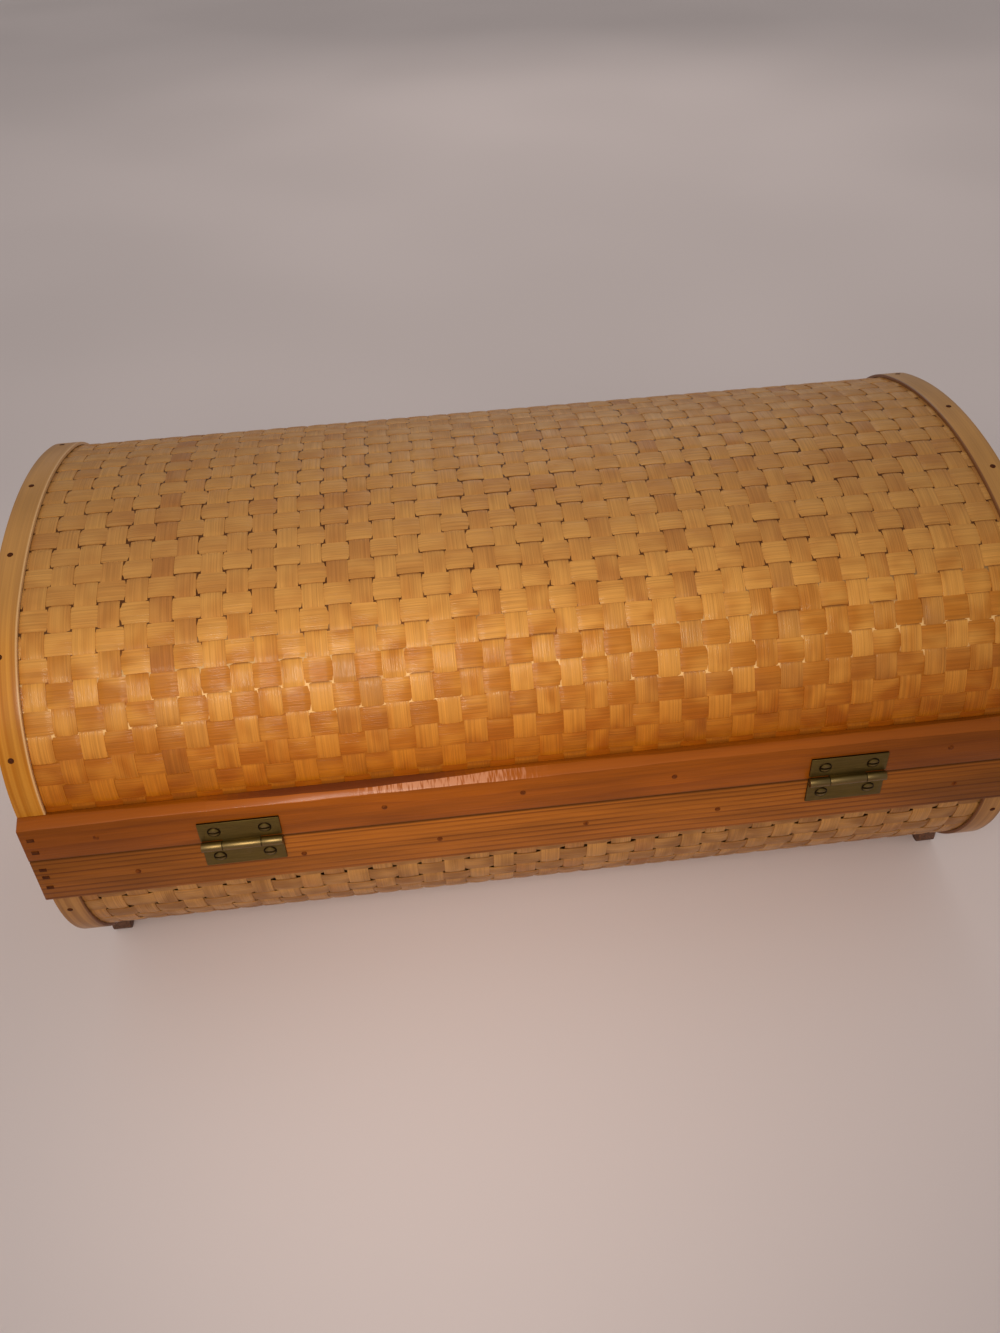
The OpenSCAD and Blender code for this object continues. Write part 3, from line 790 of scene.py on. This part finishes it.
def bent_bamboo(name, colours, tones, painted_edge, greyed_from):
    """A split bamboo lath, bent and varnished: long straight streaks that follow the bend.

    Like the weave, it is greyed on top. Its cut edge towards the trunk's middle has a
    painted colour of its own: a painted highlight on one hoop, and painted shade on the others.
    """
    material, tree, here = start_material(name)
    height = add_node(tree, "ShaderNodeSeparateXYZ", "Z", {"Vector": here})
    grain = add_node(tree, "ShaderNodeUVMap", "UV", uv_map="grain")
    cut = add_node(tree, "ShaderNodeAttribute", "Fac", attribute_name="cut")
    bold = streaks(tree, grain, 250, 4, 2.0)
    fine = streaks(tree, grain, 100, 0.8)
    clouds = streaks(tree, grain, 60, 20, 1.0)
    base = blended(tree, bold, 0.36, 0.64, *tones)
    base = blended(tree, height, greyed_from, HOOP_TOP, base, colours.splint_bleached, 0.8)
    base = shaded(tree, base, fine, 0.92, 1.03)
    base = shaded(tree, base, clouds, 0.9, 1.08)
    # Paints the inner cut edge with the given colour of painted light
    base = blended(tree, cut, 0.75, 1.0, base, painted_edge, 0.85)
    set_uneven_surface(
        tree, base, (clouds, 0.3, 0.7, 0.5, 0.36), (fine, 0.5, 0.0001),
        {"Specular IOR Level": 0.15, "Coat Weight": 0.12, "Coat Roughness": 0.2},
    )
    return material


def stained_beech(colours):
    """Beech stained dark brown: close short streaks, and a dull, rubbed surface."""
    material, tree, here = start_material("stained_beech")
    turned = add_node(tree, "ShaderNodeMapping", "Vector", {
        "Vector": here, "Rotation": (0, 0, math.pi / 2),
    })
    flecks = streaks(tree, turned, 12, 0.9)
    clouds = streaks(tree, turned, 40, 8, 2.0)
    base = blended(tree, flecks, 0.35, 0.65, colours.runner_dark, colours.runner_light)
    base = shaded(tree, base, clouds, 0.75, 1.15)
    set_uneven_surface(tree, base, (clouds, 0.3, 0.7, 0.62, 0.5), (flecks, 0.5, 0.0001), {})
    return material


def aged_brass(name, colours, clean_from, rubbed_from, rubbed_to):
    """Rolled brass, tarnished olive brown.

    Dirt lies in its corners, below clean_from, and round the foot of each screw head this
    dark band is painted shade. It is rubbed bright where it stands proud. The three are
    heights above the rails' faces.
    """
    material, tree, here = start_material(name)
    side = add_node(tree, "ShaderNodeSeparateXYZ", "Y", {"Vector": here})
    out = add_node(tree, "ShaderNodeMath", 0, (side,), operation="ABSOLUTE")
    proud = add_node(tree, "ShaderNodeMath", 0, (out, HALF_DEPTH), operation="SUBTRACT")
    rolling = streaks(tree, here, 10, 0.6)
    blotches = streaks(tree, here, 6, 4, 4.0)
    rubbed = add_node(
        tree, "ShaderNodeMapRange", "Result", (proud, rubbed_from, rubbed_to, 0.0, 1.0),
        interpolation_type="SMOOTHSTEP",
    )
    polished = add_node(
        tree, "ShaderNodeMapRange", "Result", (blotches, 0.5, 0.75, 0.0, 0.5),
        interpolation_type="SMOOTHSTEP",
    )
    clean = add_node(tree, "ShaderNodeMath", 0, (rubbed, polished), operation="MAXIMUM")
    base = blended(tree, clean, 0.0, 1.0, colours.brass_dull, colours.brass_bright)
    # Grime in the corners; on the screws it rings the heads as painted shade
    base = blended(
        tree, proud, clean_from - 0.0002, clean_from + 0.0001, colours.brass_grime_and_shade, base
    )
    base = shaded(tree, base, rolling, 0.86, 1.08)
    set_uneven_surface(
        tree, base, (clean, 0.0, 1.0, 0.5, 0.42), (blotches, 0.4, 0.00008), {"Metallic": 1.0}
    )
    return material


def rusted_iron(name, dark, rust):
    """Cut and drawn iron nails, blackened, with rust in patches: dull, barely metallic."""
    material, tree, here = start_material(name)
    patches = streaks(tree, here, 1.2, 1.2)
    base = blended(tree, patches, 0.4, 0.65, dark, rust)
    set_uneven_surface(
        tree, base, (patches, 0.3, 0.7, 0.5, 0.75), (patches, 0.6, 0.00015),
        {"Metallic": 0.1, "Specular IOR Level": 0.1},
    )
    return material


def pale_cloth(colours):
    """A plain pale cloth under the trunk, with no gloss."""
    material, tree, here = start_material("pale_cloth")
    clouds = streaks(tree, here, 500, 500, 1.0)
    base = shaded(tree, colours.cloth, clouds, 0.97, 1.03)
    set_surface(tree, {"Base Color": base, "Roughness": 0.95})
    return material


class TRUNK_OT_stage(bpy.types.Operator):
    """Set the floor, the lights and the camera"""

    bl_idname = "trunk.stage"
    bl_label = "Stage"

    def execute(self, context):
        scene = context.scene
        sizes = scene.trunk_stage
        select_none()
        bpy.ops.mesh.primitive_grid_add(
            x_subdivisions=8, y_subdivisions=8, size=2 * sizes.floor_reach
        )
        floor = context.object
        floor.name = "floor"
        floor.data.materials.append(pale_cloth(scene.trunk_colours))
        self.light_sky(scene, sizes)
        self.add_lights(scene, sizes)
        self.add_camera(scene, sizes)
        scene.view_settings.view_transform = "Standard"
        return {"FINISHED"}

    @staticmethod
    def light_sky(scene, sizes):
        """An even pale light from all round."""
        world = bpy.data.worlds.new("soft_room")
        world.use_nodes = True
        scene.world = world
        sky = world.node_tree.nodes["Background"]
        sky.inputs["Color"].default_value = SKY_TINT
        sky.inputs["Strength"].default_value = sizes.sky_strength

    @staticmethod
    def add_lights(scene, sizes):
        """Square lights, each facing the point that it aims at."""
        for name, (spot, aim, width, spread, tint) in LIGHTS.items():
            light = bpy.data.lights.new(name, "AREA")
            light.size = width
            light.energy = getattr(sizes, f"{name}_power")
            light.spread = math.radians(spread)
            light.color = tint
            holder = bpy.data.objects.new(name, light)
            holder.location = spot
            ahead = Vector(aim) - Vector(spot)
            holder.rotation_euler = ahead.to_track_quat("-Z", "Y").to_euler()
            scene.collection.objects.link(holder)

    @staticmethod
    def add_camera(scene, sizes):
        """The camera where the photographer stood, behind the trunk and above it."""
        yaw, pitch, roll = sizes.camera_yaw, sizes.camera_pitch, sizes.camera_roll
        ahead = Vector((
            math.sin(yaw) * math.cos(pitch), -math.cos(yaw) * math.cos(pitch), -math.sin(pitch)
        ))
        level = ahead.cross(Vector((0, 0, 1))).normalized()
        upright = level.cross(ahead)
        right = math.cos(roll) * level + math.sin(roll) * upright
        up = math.cos(roll) * upright - math.sin(roll) * level
        camera = bpy.data.cameras.new("camera")
        camera.lens = sizes.camera_lens
        camera.clip_start = 0.01
        holder = bpy.data.objects.new("camera", camera)
        turned = Matrix((right, up, -ahead)).transposed().to_4x4()
        holder.matrix_world = Matrix.Translation(sizes.camera_place) @ turned
        scene.collection.objects.link(holder)
        scene.camera = holder


def places_along(known, pitch, low, high):
    """Every place of an even pattern that holds a known one, from low to high."""
    first = math.ceil((low - known) / pitch)
    last = math.floor((high - known) / pitch)
    return [(index, known + index * pitch) for index in range(first, last + 1)]


def even_pitch(places):
    """The even spacing of a list of indexed places."""
    return (places[-1][1] - places[0][1]) / (len(places) - 1)


def over_under(steps, squareness):
    """+1 over one crossing and -1 under the next: a cosine pressed flat by the splints."""
    swing = np.cos(np.pi * steps)
    return swing * math.sqrt(1 + squareness**2) / np.sqrt(swing**2 + squareness**2)


def flat_splint(reach, width, thickness, parts):
    """A straight flat splint along X: a grid primitive, given a wall and closed edges."""
    select_none()
    bpy.ops.mesh.primitive_grid_add(x_subdivisions=parts, y_subdivisions=SPLINT_PARTS, size=1)
    splint = bpy.context.object
    edit_all(splint)
    bpy.ops.transform.resize(value=(reach, width, 1), center_override=(0, 0, 0))
    bpy.ops.object.mode_set(mode="OBJECT")
    apply_modifier(splint, "SOLIDIFY", thickness=thickness, offset=0)
    return splint


def lay_splints(name, arch, laid, crossed, reach, widths, lengthwise, most_shade_and_dirt, dice):
    """Weaves one set of parallel splints through the other and bends it over the arch.

    laid holds the indexed places of this set's splints, crossed those of the set that it
    goes over and under. reach is where its splints start and end, and widths are shares
    of their pitch, on top and beside the rails. most_shade_and_dirt is a share from 0 to 1:
    the most painted shade with grime in the splints' low places.
    """
    sizes = bpy.context.scene.trunk_weave
    hand = 1 if lengthwise else -1
    low, high = reach
    pitch, step = even_pitch(laid), even_pitch(crossed)
    parts = CROSSING_PARTS * (len(crossed) + 1)
    blank = flat_splint(high - low, pitch, sizes.splint_thickness, parts)
    pieces = []
    for index, middle in laid:
        mesh = blank.data.copy()
        along, side, off = read_points(mesh).T
        along = along + (low + high) / 2
        start, wave_length = dice.uniform(0, 2 * math.pi), dice.uniform(*STRAY_WAVES)
        wander = sizes.stray * np.sin(2 * math.pi * along / wave_length + start)
        on_arch = middle if lengthwise else along
        from_crown = np.abs(1 - 2 * np.clip(on_arch / arch.total, 0, 1))
        width_here = widths[0] + (widths[1] - widths[0]) * from_crown
        across = middle + wander + dice.uniform(-1, 1) * sizes.stray
        across = across + side * width_here * dice.uniform(*WIDTH_CHANGES)

        steps = (along - crossed[0][1]) / step
        steps = np.clip(steps, -0.5, len(crossed) - 0.5) + crossed[0][0] + index
        height = hand * over_under(steps, sizes.squareness)
        outer = off > 0
        crowned = np.where(outer, sizes.camber * (1 - 2 * (2 * side / pitch) ** 2), 0)
        off = off + sizes.crimp * height + crowned
        flat = (along, across, off) if lengthwise else (across, along, off)

        lay_grain(mesh, along, across)
        # On top the rows are the lighter set, low down the columns are
        lighter = np.interp(from_crown, LIGHTNESS_TURNS, (ROWS_LIGHTER, -COLUMNS_LIGHTER))
        mark(mesh, "POINT", "tone", dice.uniform(*TONES) + hand * lighter)
        mark(mesh, "POINT", "tint", dice.uniform(*(ROW_TINTS if lengthwise else COLUMN_TINTS)))
        # Painted shade with grime lies in the splints' low places, most along the lower edges of
        # the rows where the columns dive, less to the left, and along the seams with the rails
        below_row = -np.sin(np.pi * steps) * np.sign(arch.total / 2 - on_arch) > 0
        in_dive = most_shade_and_dirt - THINNER_SLOPE * max(0, middle - THINNER_FROM)
        dirty = ROW_SHADE_AND_DIRT if lengthwise else np.where(below_row, in_dive, COLUMN_SHADE_AND_DIRT)
        seam = sum(np.exp(-(gap / SEAM_WIDTH) ** 2) for gap in (on_arch, arch.total - on_arch))
        shade_and_dirt_amount = np.clip(dirty * (1 - height) / 2 + seam, 0, 1)
        # Only the outer face carries the painted shade with grime
        mark(mesh, "POINT", "low", np.where(outer, shade_and_dirt_amount, 0))
        write_points(mesh, arch.bend(np.column_stack(flat)))
        splint = bpy.data.objects.new(f"{name}_{index}", mesh)
        bpy.context.scene.collection.objects.link(splint)
        pieces.append(splint)
    bpy.data.objects.remove(blank)
    panel = join(pieces, name)
    face_outwards(panel)
    smooth(panel, 40)
    return panel


class TRUNK_OT_weave(bpy.types.Operator):
    """Weave the lid's and the base's panels and bend them over their arches"""

    bl_idname = "trunk.weave"
    bl_label = "Woven panels"

    def execute(self, context):
        sizes = context.scene.trunk_weave
        colours = context.scene.trunk_colours
        half_wall = sizes.crimp + sizes.splint_thickness / 2 + sizes.camber
        over_lid, over_base = lid_arch(-half_wall), base_arch(-half_wall)
        varnished = split_bamboo(
            "varnished_split_bamboo", colours, colours.splint_amber, colours.splint_honey, True
        )
        plain = split_bamboo(
            "plain_split_bamboo", colours, colours.splint_tan, colours.splint_pale, False
        )
        self.weave("lid", over_lid, varnished, sizes, skirt=RAIL_TOP - PANEL_LOW.z, seed=11)
        self.fill_holes(over_lid, sizes, colours)
        self.weave("base", over_base, plain, sizes, skirt=BOWL_HIGH.z - RAIL_FOOT, seed=23)
        return {"FINISHED"}

    @staticmethod
    def weave(body, arch, material, sizes, skirt, seed):
        """One panel: lengthwise splints in rows, and crosswise splints in columns."""
        dice = random.Random(seed)
        extents = {"column": (-HALF_LENGTH, HALF_LENGTH), "row": (-skirt, arch.total + skirt)}
        places, reaches, widths = {}, {}, {}
        for kind, (low, high) in extents.items():
            pitch = getattr(sizes, f"{body}_{kind}_pitch")
            widths[kind] = getattr(sizes, f"{body}_{kind}_widths")
            half_width = widths[kind][1] * pitch / 2
            known = getattr(sizes, f"{body}_{kind}")
            places[kind] = places_along(known, pitch, low + half_width, high - half_width)
            reaches[kind] = (low + SPLINT_INSET, high - SPLINT_INSET)
        for run, laid, crossed in (
            ("lengthwise", "row", "column"), ("crosswise", "column", "row")
        ):
            panel = lay_splints(
                f"{body}_{run}_splints", arch, places[laid], places[crossed], reaches[crossed],
                widths[laid], laid == "row", getattr(sizes, f"{body}_dirt"), dice,
            )
            finish_piece(panel, material, body, f"{body}_woven_panel")

    @staticmethod
    def fill_holes(arch, sizes, colours):
        """The varnish that fills the lid's holes, halfway through the weave, with painted
        highlights and painted shade.
        """
        width = 2 * (HALF_LENGTH - FILM_INSET)
        film = flat_splint(arch.total, width, sizes.film_thickness, FILM_PARTS)
        film.name = "pooled_varnish_film"
        along, across, off = read_points(film.data).T
        flat = np.column_stack([across, along + arch.total / 2, off])
        write_points(film.data, arch.bend(flat))
        face_outwards(film)
        smooth(film)
        finish_piece(film, painted_hole_film(colours), "lid", "lid_woven_panel")


def swell(x, middle, reach):
    """A smooth rise from 0 to 1 and back, along a part of X."""
    along = np.clip(np.abs(x - middle) / reach, 0, 1)
    return np.sqrt(0.5 * (1 + np.cos(np.pi * along)))


class TRUNK_OT_rails(bpy.types.Operator):
    """Plane the four rails, with a hand-planed slope along the lid rails' tops"""

    bl_idname = "trunk.rails"
    bl_label = "Rails"

    def execute(self, context):
        sizes = context.scene.trunk_wood
        colours = context.scene.trunk_colours
        # The pith lies below and behind the rail, so that the rings run as flat lines
        piths = {"lid": (0.05, 0.085), "base": (0.02, -0.02)}
        for side, facing in (("back", 1), ("front", -1)):
            for body, (behind, height) in piths.items():
                node = f"{body}_rail_{side}"
                pith = (0, facing * behind, height)
                wood = pine(f"varnished_pine_{node}", colours, f"{body}_rail", pith)
                rail = self.planed_rail(node, facing, sizes, body == "lid")
                finish_piece(rail, wood, body, node)
        return {"FINISHED"}

    def planed_rail(self, node, facing, sizes, on_lid):
        """A rail from a box, cut into lengths, its edges planed and worn."""
        low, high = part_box(node)
        outer = high.y if facing > 0 else low.y
        rail = new_box(f"planed_{node}", low, high)
        select_edges(rail, lambda a, b: abs(a.x - b.x) > NEAR)
        bpy.ops.mesh.subdivide(number_cuts=RAIL_CUTS)
        if on_lid:
            select_edges(rail, lambda a, b: abs(a.x - b.x) > NEAR and all(
                abs(p.y - outer) < NEAR and abs(p.z - high.z) < NEAR for p in (a, b)
            ))
            bpy.ops.mesh.bevel(offset=sizes.planed_drop, segments=1)
        bpy.ops.object.mode_set(mode="OBJECT")
        if on_lid:
            self.plane_by_hand(rail.data, high.z, outer, sizes)
        wear_edges(rail, sizes.rail_wear, 25)
        return rail

    @staticmethod
    def plane_by_hand(mesh, top, outer, sizes):
        """Lets the slope wander and flare, and marks painted glints on it and painted shade with
        grime on a ledge behind a part of it.
        """
        facing = math.copysign(1, outer)
        x, y, z = read_points(mesh).T
        wander = sizes.planing_stray * sum(
            size * np.sin(2 * math.pi * turns * x + start) for size, turns, start in PLANING_WAVES
        )
        flare = sizes.planed_flare * (np.abs(x) / HALF_LENGTH) ** 5
        foot = top - sizes.planed_drop
        crest = outer - facing * sizes.planed_drop
        on_face = (np.abs(y - outer) < NEAR) & (np.abs(z - foot) < NEAR)
        on_top = (np.abs(z - top) < NEAR) & (np.abs(y - crest) < NEAR)
        ledge = swell(x, facing * sizes.ledge_middle, sizes.ledge_reach)
        depth = sizes.planed_depth + flare + wander - sizes.ledge_depth * ledge
        y = np.where(on_top, outer - facing * depth, y)
        z = np.where(on_face, foot - flare / 2 - wander, z)
        write_points(mesh, np.column_stack([x, y, z]))

        faces = mesh.polygons
        across = np.array([face.center.x for face in faces])
        upward = np.array([face.normal.z for face in faces])
        # The top of the rail is level, and the planed slope leans
        level = upward > 0.99
        slope = (upward > 0.1) & ~level
        # Painted glints on the slope, on the back rail only
        crazed = slope * swell(across, sizes.crazed_glint_middle, sizes.crazed_glint_reach)
        mark(mesh, "FACE", "planed", slope)
        mark(mesh, "FACE", "crazed", crazed if facing > 0 else 0)
        # Painted shade with grime on the level ledge
        mark(mesh, "FACE", "dirty", level * swell(across, sizes.ledge_middle, sizes.ledge_reach))


class TRUNK_OT_end_boards(bpy.types.Operator):
    """Finish the four end boards, sawn to the arch"""

    bl_idname = "trunk.end_boards"
    bl_label = "End boards"

    def execute(self, context):
        colours = context.scene.trunk_colours
        radius = context.scene.trunk_wood.board_wear
        for body, pith_height in (("lid", 0.02), ("base", 0.20)):
            for side, hand in (("left", 1), ("right", -1)):
                node = f"{body}_end_board_{side}"
                pith = (hand * 0.16, 0, pith_height)
                wood = pine(f"varnished_pine_{node}", colours, "board", pith)
                dress_copies("sawn", radius, wood, (node, body, "end_board_wood"))
        return {"FINISHED"}


class TRUNK_OT_battens(bpy.types.Operator):
    """Plane the four battens that clamp the weave's edges inside"""

    bl_idname = "trunk.battens"
    bl_label = "Battens"

    def execute(self, context):
        for body in ("lid", "base"):
            for side, facing in (("back", 1), ("front", -1)):
                node = f"{body}_batten_{side}"
                batten = new_box(f"planed_{node}", *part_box(node))
                bpy.ops.mesh.bevel(offset=context.scene.trunk_wood.board_wear, segments=2)
                bpy.ops.object.mode_set(mode="OBJECT")
                smooth(batten)
                pith = (0, facing * 0.09, 0.02)
                wood = pine(f"bare_pine_{node}", context.scene.trunk_colours, "batten", pith)
                finish_piece(batten, wood, body, node)
        return {"FINISHED"}


class TRUNK_OT_hoops(bpy.types.Operator):
    """Bend the four hoops over the ends of the weave"""

    bl_idname = "trunk.hoops"
    bl_label = "Hoops"

    def execute(self, context):
        colours = context.scene.trunk_colours
        plain = bent_bamboo(
            "plain_bent_bamboo_lath", colours, (colours.splint_tan, colours.splint_pale),
            colours.hoop_edge_shade, RAIL_TOP,
        )
        amber = (colours.hoop_dark, colours.hoop_light)
        varnished = bent_bamboo(
            "varnished_bent_bamboo_lath", colours, amber, colours.hoop_edge_shade, RAIL_TOP
        )
        # The left lid hoop's inner cut edge gets a painted highlight, the other hoops' painted
        # shade
        highlit_edge_lath = bent_bamboo(
            "varnished_bent_bamboo_lath_pale_edge", colours, amber, colours.hoop_edge_highlight,
            GREYED_TOP[0],
        )
        for node, body, arch_of, lath in (
            ("lid_hoop_left", "lid", lid_arch, highlit_edge_lath),
            ("lid_hoop_right", "lid", lid_arch, varnished),
            ("base_hoop_left", "base", base_arch, plain),
            ("base_hoop_right", "base", base_arch, plain),
        ):
            arch = arch_of(HOOP_SEAT + HOOP_THICKNESS / 2)
            hoop = self.bent_hoop(node, arch, context.scene.trunk_wood.hoop_wear)
            finish_piece(hoop, lath, body, node)
        return {"FINISHED"}

    @staticmethod
    def bent_hoop(node, arch, radius):
        """A flat lath from a box, cut into short lengths, its edges worn, then bent."""
        left, right = (corner.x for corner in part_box(node))
        half = HOOP_THICKNESS / 2
        hoop = new_box(f"bent_{node}", (left, 0, -half), (right, arch.total, half))
        select_edges(hoop, lambda a, b: abs(a.y - b.y) > NEAR)
        bpy.ops.mesh.subdivide(number_cuts=HOOP_CUTS)
        select_edges(hoop, lambda a, b: abs(a.x - b.x) > NEAR)
        bpy.ops.mesh.subdivide(number_cuts=HOOP_SIDE_CUTS)
        select_edges(hoop, lambda a, b: abs(a.y - b.y) > NEAR and all(
            min(abs(p.x - left), abs(p.x - right)) < NEAR and p.z > 0 for p in (a, b)
        ))
        bpy.ops.mesh.bevel(offset=radius, segments=2)
        bpy.ops.object.mode_set(mode="OBJECT")
        flat = read_points(hoop.data)
        lay_grain(hoop.data, flat[:, 1], flat[:, 0] + flat[:, 2])
        inner_edge = min(left, right, key=abs)
        # The inner cut edge, which the lath's material paints with its painted edge colour
        mark(hoop.data, "POINT", "cut", np.abs(flat[:, 0] - inner_edge) < radius + NEAR)
        write_points(hoop.data, arch.bend(flat))
        face_outwards(hoop)
        smooth(hoop)
        return hoop


class TRUNK_OT_runners(bpy.types.Operator):
    """Round the edges of the two runners"""

    bl_idname = "trunk.runners"
    bl_label = "Runners"

    def execute(self, context):
        dress_copies(
            "sawn", context.scene.trunk_wood.board_wear,
            stained_beech(context.scene.trunk_colours),
            ("runner_left", "base", "runner_wood"),
            ("runner_right", "base", "runner_wood"),
        )
        return {"FINISHED"}


class TRUNK_OT_hinges(bpy.types.Operator):
    """Soften the hinge leaves and pins, and rub their barrels bright"""

    bl_idname = "trunk.hinges"
    bl_label = "Hinges"

    def execute(self, context):
        sizes = context.scene.trunk_metal
        brass = aged_brass(
            "aged_brass_hinge", context.scene.trunk_colours, LEAF_THICKNESS - 0.0002,
            LEAF_THICKNESS + 0.0008, KNUCKLE_REACH,
        )
        for side in ("left", "right"):
            dress_copies(
                "rolled", sizes.leaf_edge, brass,
                (f"hinge_{side}_lower_leaf", "base", "aged_brass"),
                (f"hinge_{side}_upper_leaf", "lid", "aged_brass"),
            )
            pin = (f"hinge_{side}_pin", "base", "brass_stud")
            dress_copies("riveted", sizes.stud_edge, brass, pin)
        return {"FINISHED"}


class TRUNK_OT_screws(bpy.types.Operator):
    """Soften the hinges' slotted screws"""

    bl_idname = "trunk.screws"
    bl_label = "Screws"

    def execute(self, context):
        # The dark band round the foot of each head is painted shade
        brass = aged_brass(
            "aged_brass_screw", context.scene.trunk_colours, LEAF_THICKNESS + 0.00045,
            LEAF_THICKNESS + 0.0004, LEAF_THICKNESS + 0.001,
        )
        dress_copies(
            "slotted", context.scene.trunk_metal.stud_edge, brass,
            ("hinge_lower_screws", "base", "brass_screw"),
            ("hinge_upper_screws", "lid", "brass_screw"),
        )
        return {"FINISHED"}


class TRUNK_OT_nails(bpy.types.Operator):
    """Soften the nails' heads"""

    bl_idname = "trunk.nails"
    bl_label = "Nails"

    def execute(self, context):
        colours = context.scene.trunk_colours
        bare_iron = rusted_iron("rusted_iron", colours.nail_dark, colours.nail_rust)
        sunk_iron = rusted_iron(
            "varnished_rusty_iron", colours.nail_sunk_dark, colours.nail_sunk_rust
        )
        for kind, body, iron in (
            ("base_rail", "base", sunk_iron),
            ("base_corner", "base", bare_iron),
            ("base_hoop", "base", bare_iron),
            ("runner", "base", bare_iron),
            ("lid_rail", "lid", sunk_iron),
            ("lid_corner", "lid", bare_iron),
            ("lid_hoop", "lid", bare_iron),
        ):
            nails = (f"{kind}_nails", body, "iron_nail")
            dress_copies("driven", context.scene.trunk_metal.nail_edge, iron, nails)
        return {"FINISHED"}


class TRUNK_OT_hook_catch(bpy.types.Operator):
    """Soften the hook, its plates, its studs and their pins"""

    bl_idname = "trunk.hook_catch"
    bl_label = "Hook catch"

    def execute(self, context):
        brass = aged_brass(
            "aged_brass_catch", context.scene.trunk_colours, LEAF_THICKNESS - 0.0002,
            LEAF_THICKNESS + 0.0004, LEAF_THICKNESS + 0.003,
        )
        dress_copies(
            "stamped", context.scene.trunk_metal.stud_edge, brass,
            ("hook_plate", "lid", "aged_brass"),
            ("hook_pivot", "lid", "brass_stud"),
            ("hook_plate_pins", "lid", "brass_stud"),
            ("latch_hook", "hook", "aged_brass"),
            ("stud_plate", "base", "aged_brass"),
            ("catch_stud", "base", "brass_stud"),
            ("stud_plate_pins", "base", "brass_stud"),
        )
        return {"FINISHED"}


class TRUNK_PT_panel(bpy.types.Panel):
    """Lists the trunk's pieces in the sidebar"""

    bl_idname = "TRUNK_PT_panel"
    bl_label = "Wicker trunk"
    bl_space_type = "VIEW_3D"
    bl_region_type = "UI"
    bl_category = "Trunk"

    def draw(self, context):
        for operator in OPERATORS:
            self.layout.operator(operator.bl_idname)
        for group in GROUPS:
            settings = getattr(context.scene, group)
            box = self.layout.box()
            for name in settings.bl_rna.properties.keys():
                if name not in ("rna_type", "name"):
                    box.prop(settings, name)


OPERATORS = (
    TRUNK_OT_stage,
    TRUNK_OT_weave,
    TRUNK_OT_rails,
    TRUNK_OT_end_boards,
    TRUNK_OT_battens,
    TRUNK_OT_hoops,
    TRUNK_OT_runners,
    TRUNK_OT_hinges,
    TRUNK_OT_screws,
    TRUNK_OT_nails,
    TRUNK_OT_hook_catch,
)
GROUPS = {
    "trunk_weave": WeaveSizes,
    "trunk_wood": WoodSizes,
    "trunk_metal": MetalSizes,
    "trunk_colours": TrunkColours,
    "trunk_stage": StageSizes,
}


def register():
    """Adds the settings, the operators and the panel to Blender."""
    for name, group in GROUPS.items():
        bpy.utils.register_class(group)
        setattr(bpy.types.Scene, name, bpy.props.PointerProperty(type=group))
    for operator in OPERATORS:
        bpy.utils.register_class(operator)
    bpy.utils.register_class(TRUNK_PT_panel)


def unregister():
    """Takes them out again."""
    bpy.utils.unregister_class(TRUNK_PT_panel)
    for operator in reversed(OPERATORS):
        bpy.utils.unregister_class(operator)
    for name, group in reversed(GROUPS.items()):
        delattr(bpy.types.Scene, name)
        bpy.utils.unregister_class(group)


def main():
    """Builds the trunk and the stage."""
    register()
    bpy.ops.trunk.stage()
    bpy.ops.trunk.weave()
    bpy.ops.trunk.rails()
    bpy.ops.trunk.end_boards()
    bpy.ops.trunk.battens()
    bpy.ops.trunk.hoops()
    bpy.ops.trunk.runners()
    bpy.ops.trunk.hinges()
    bpy.ops.trunk.screws()
    bpy.ops.trunk.nails()
    bpy.ops.trunk.hook_catch()


if __name__ == "__main__":
    main()
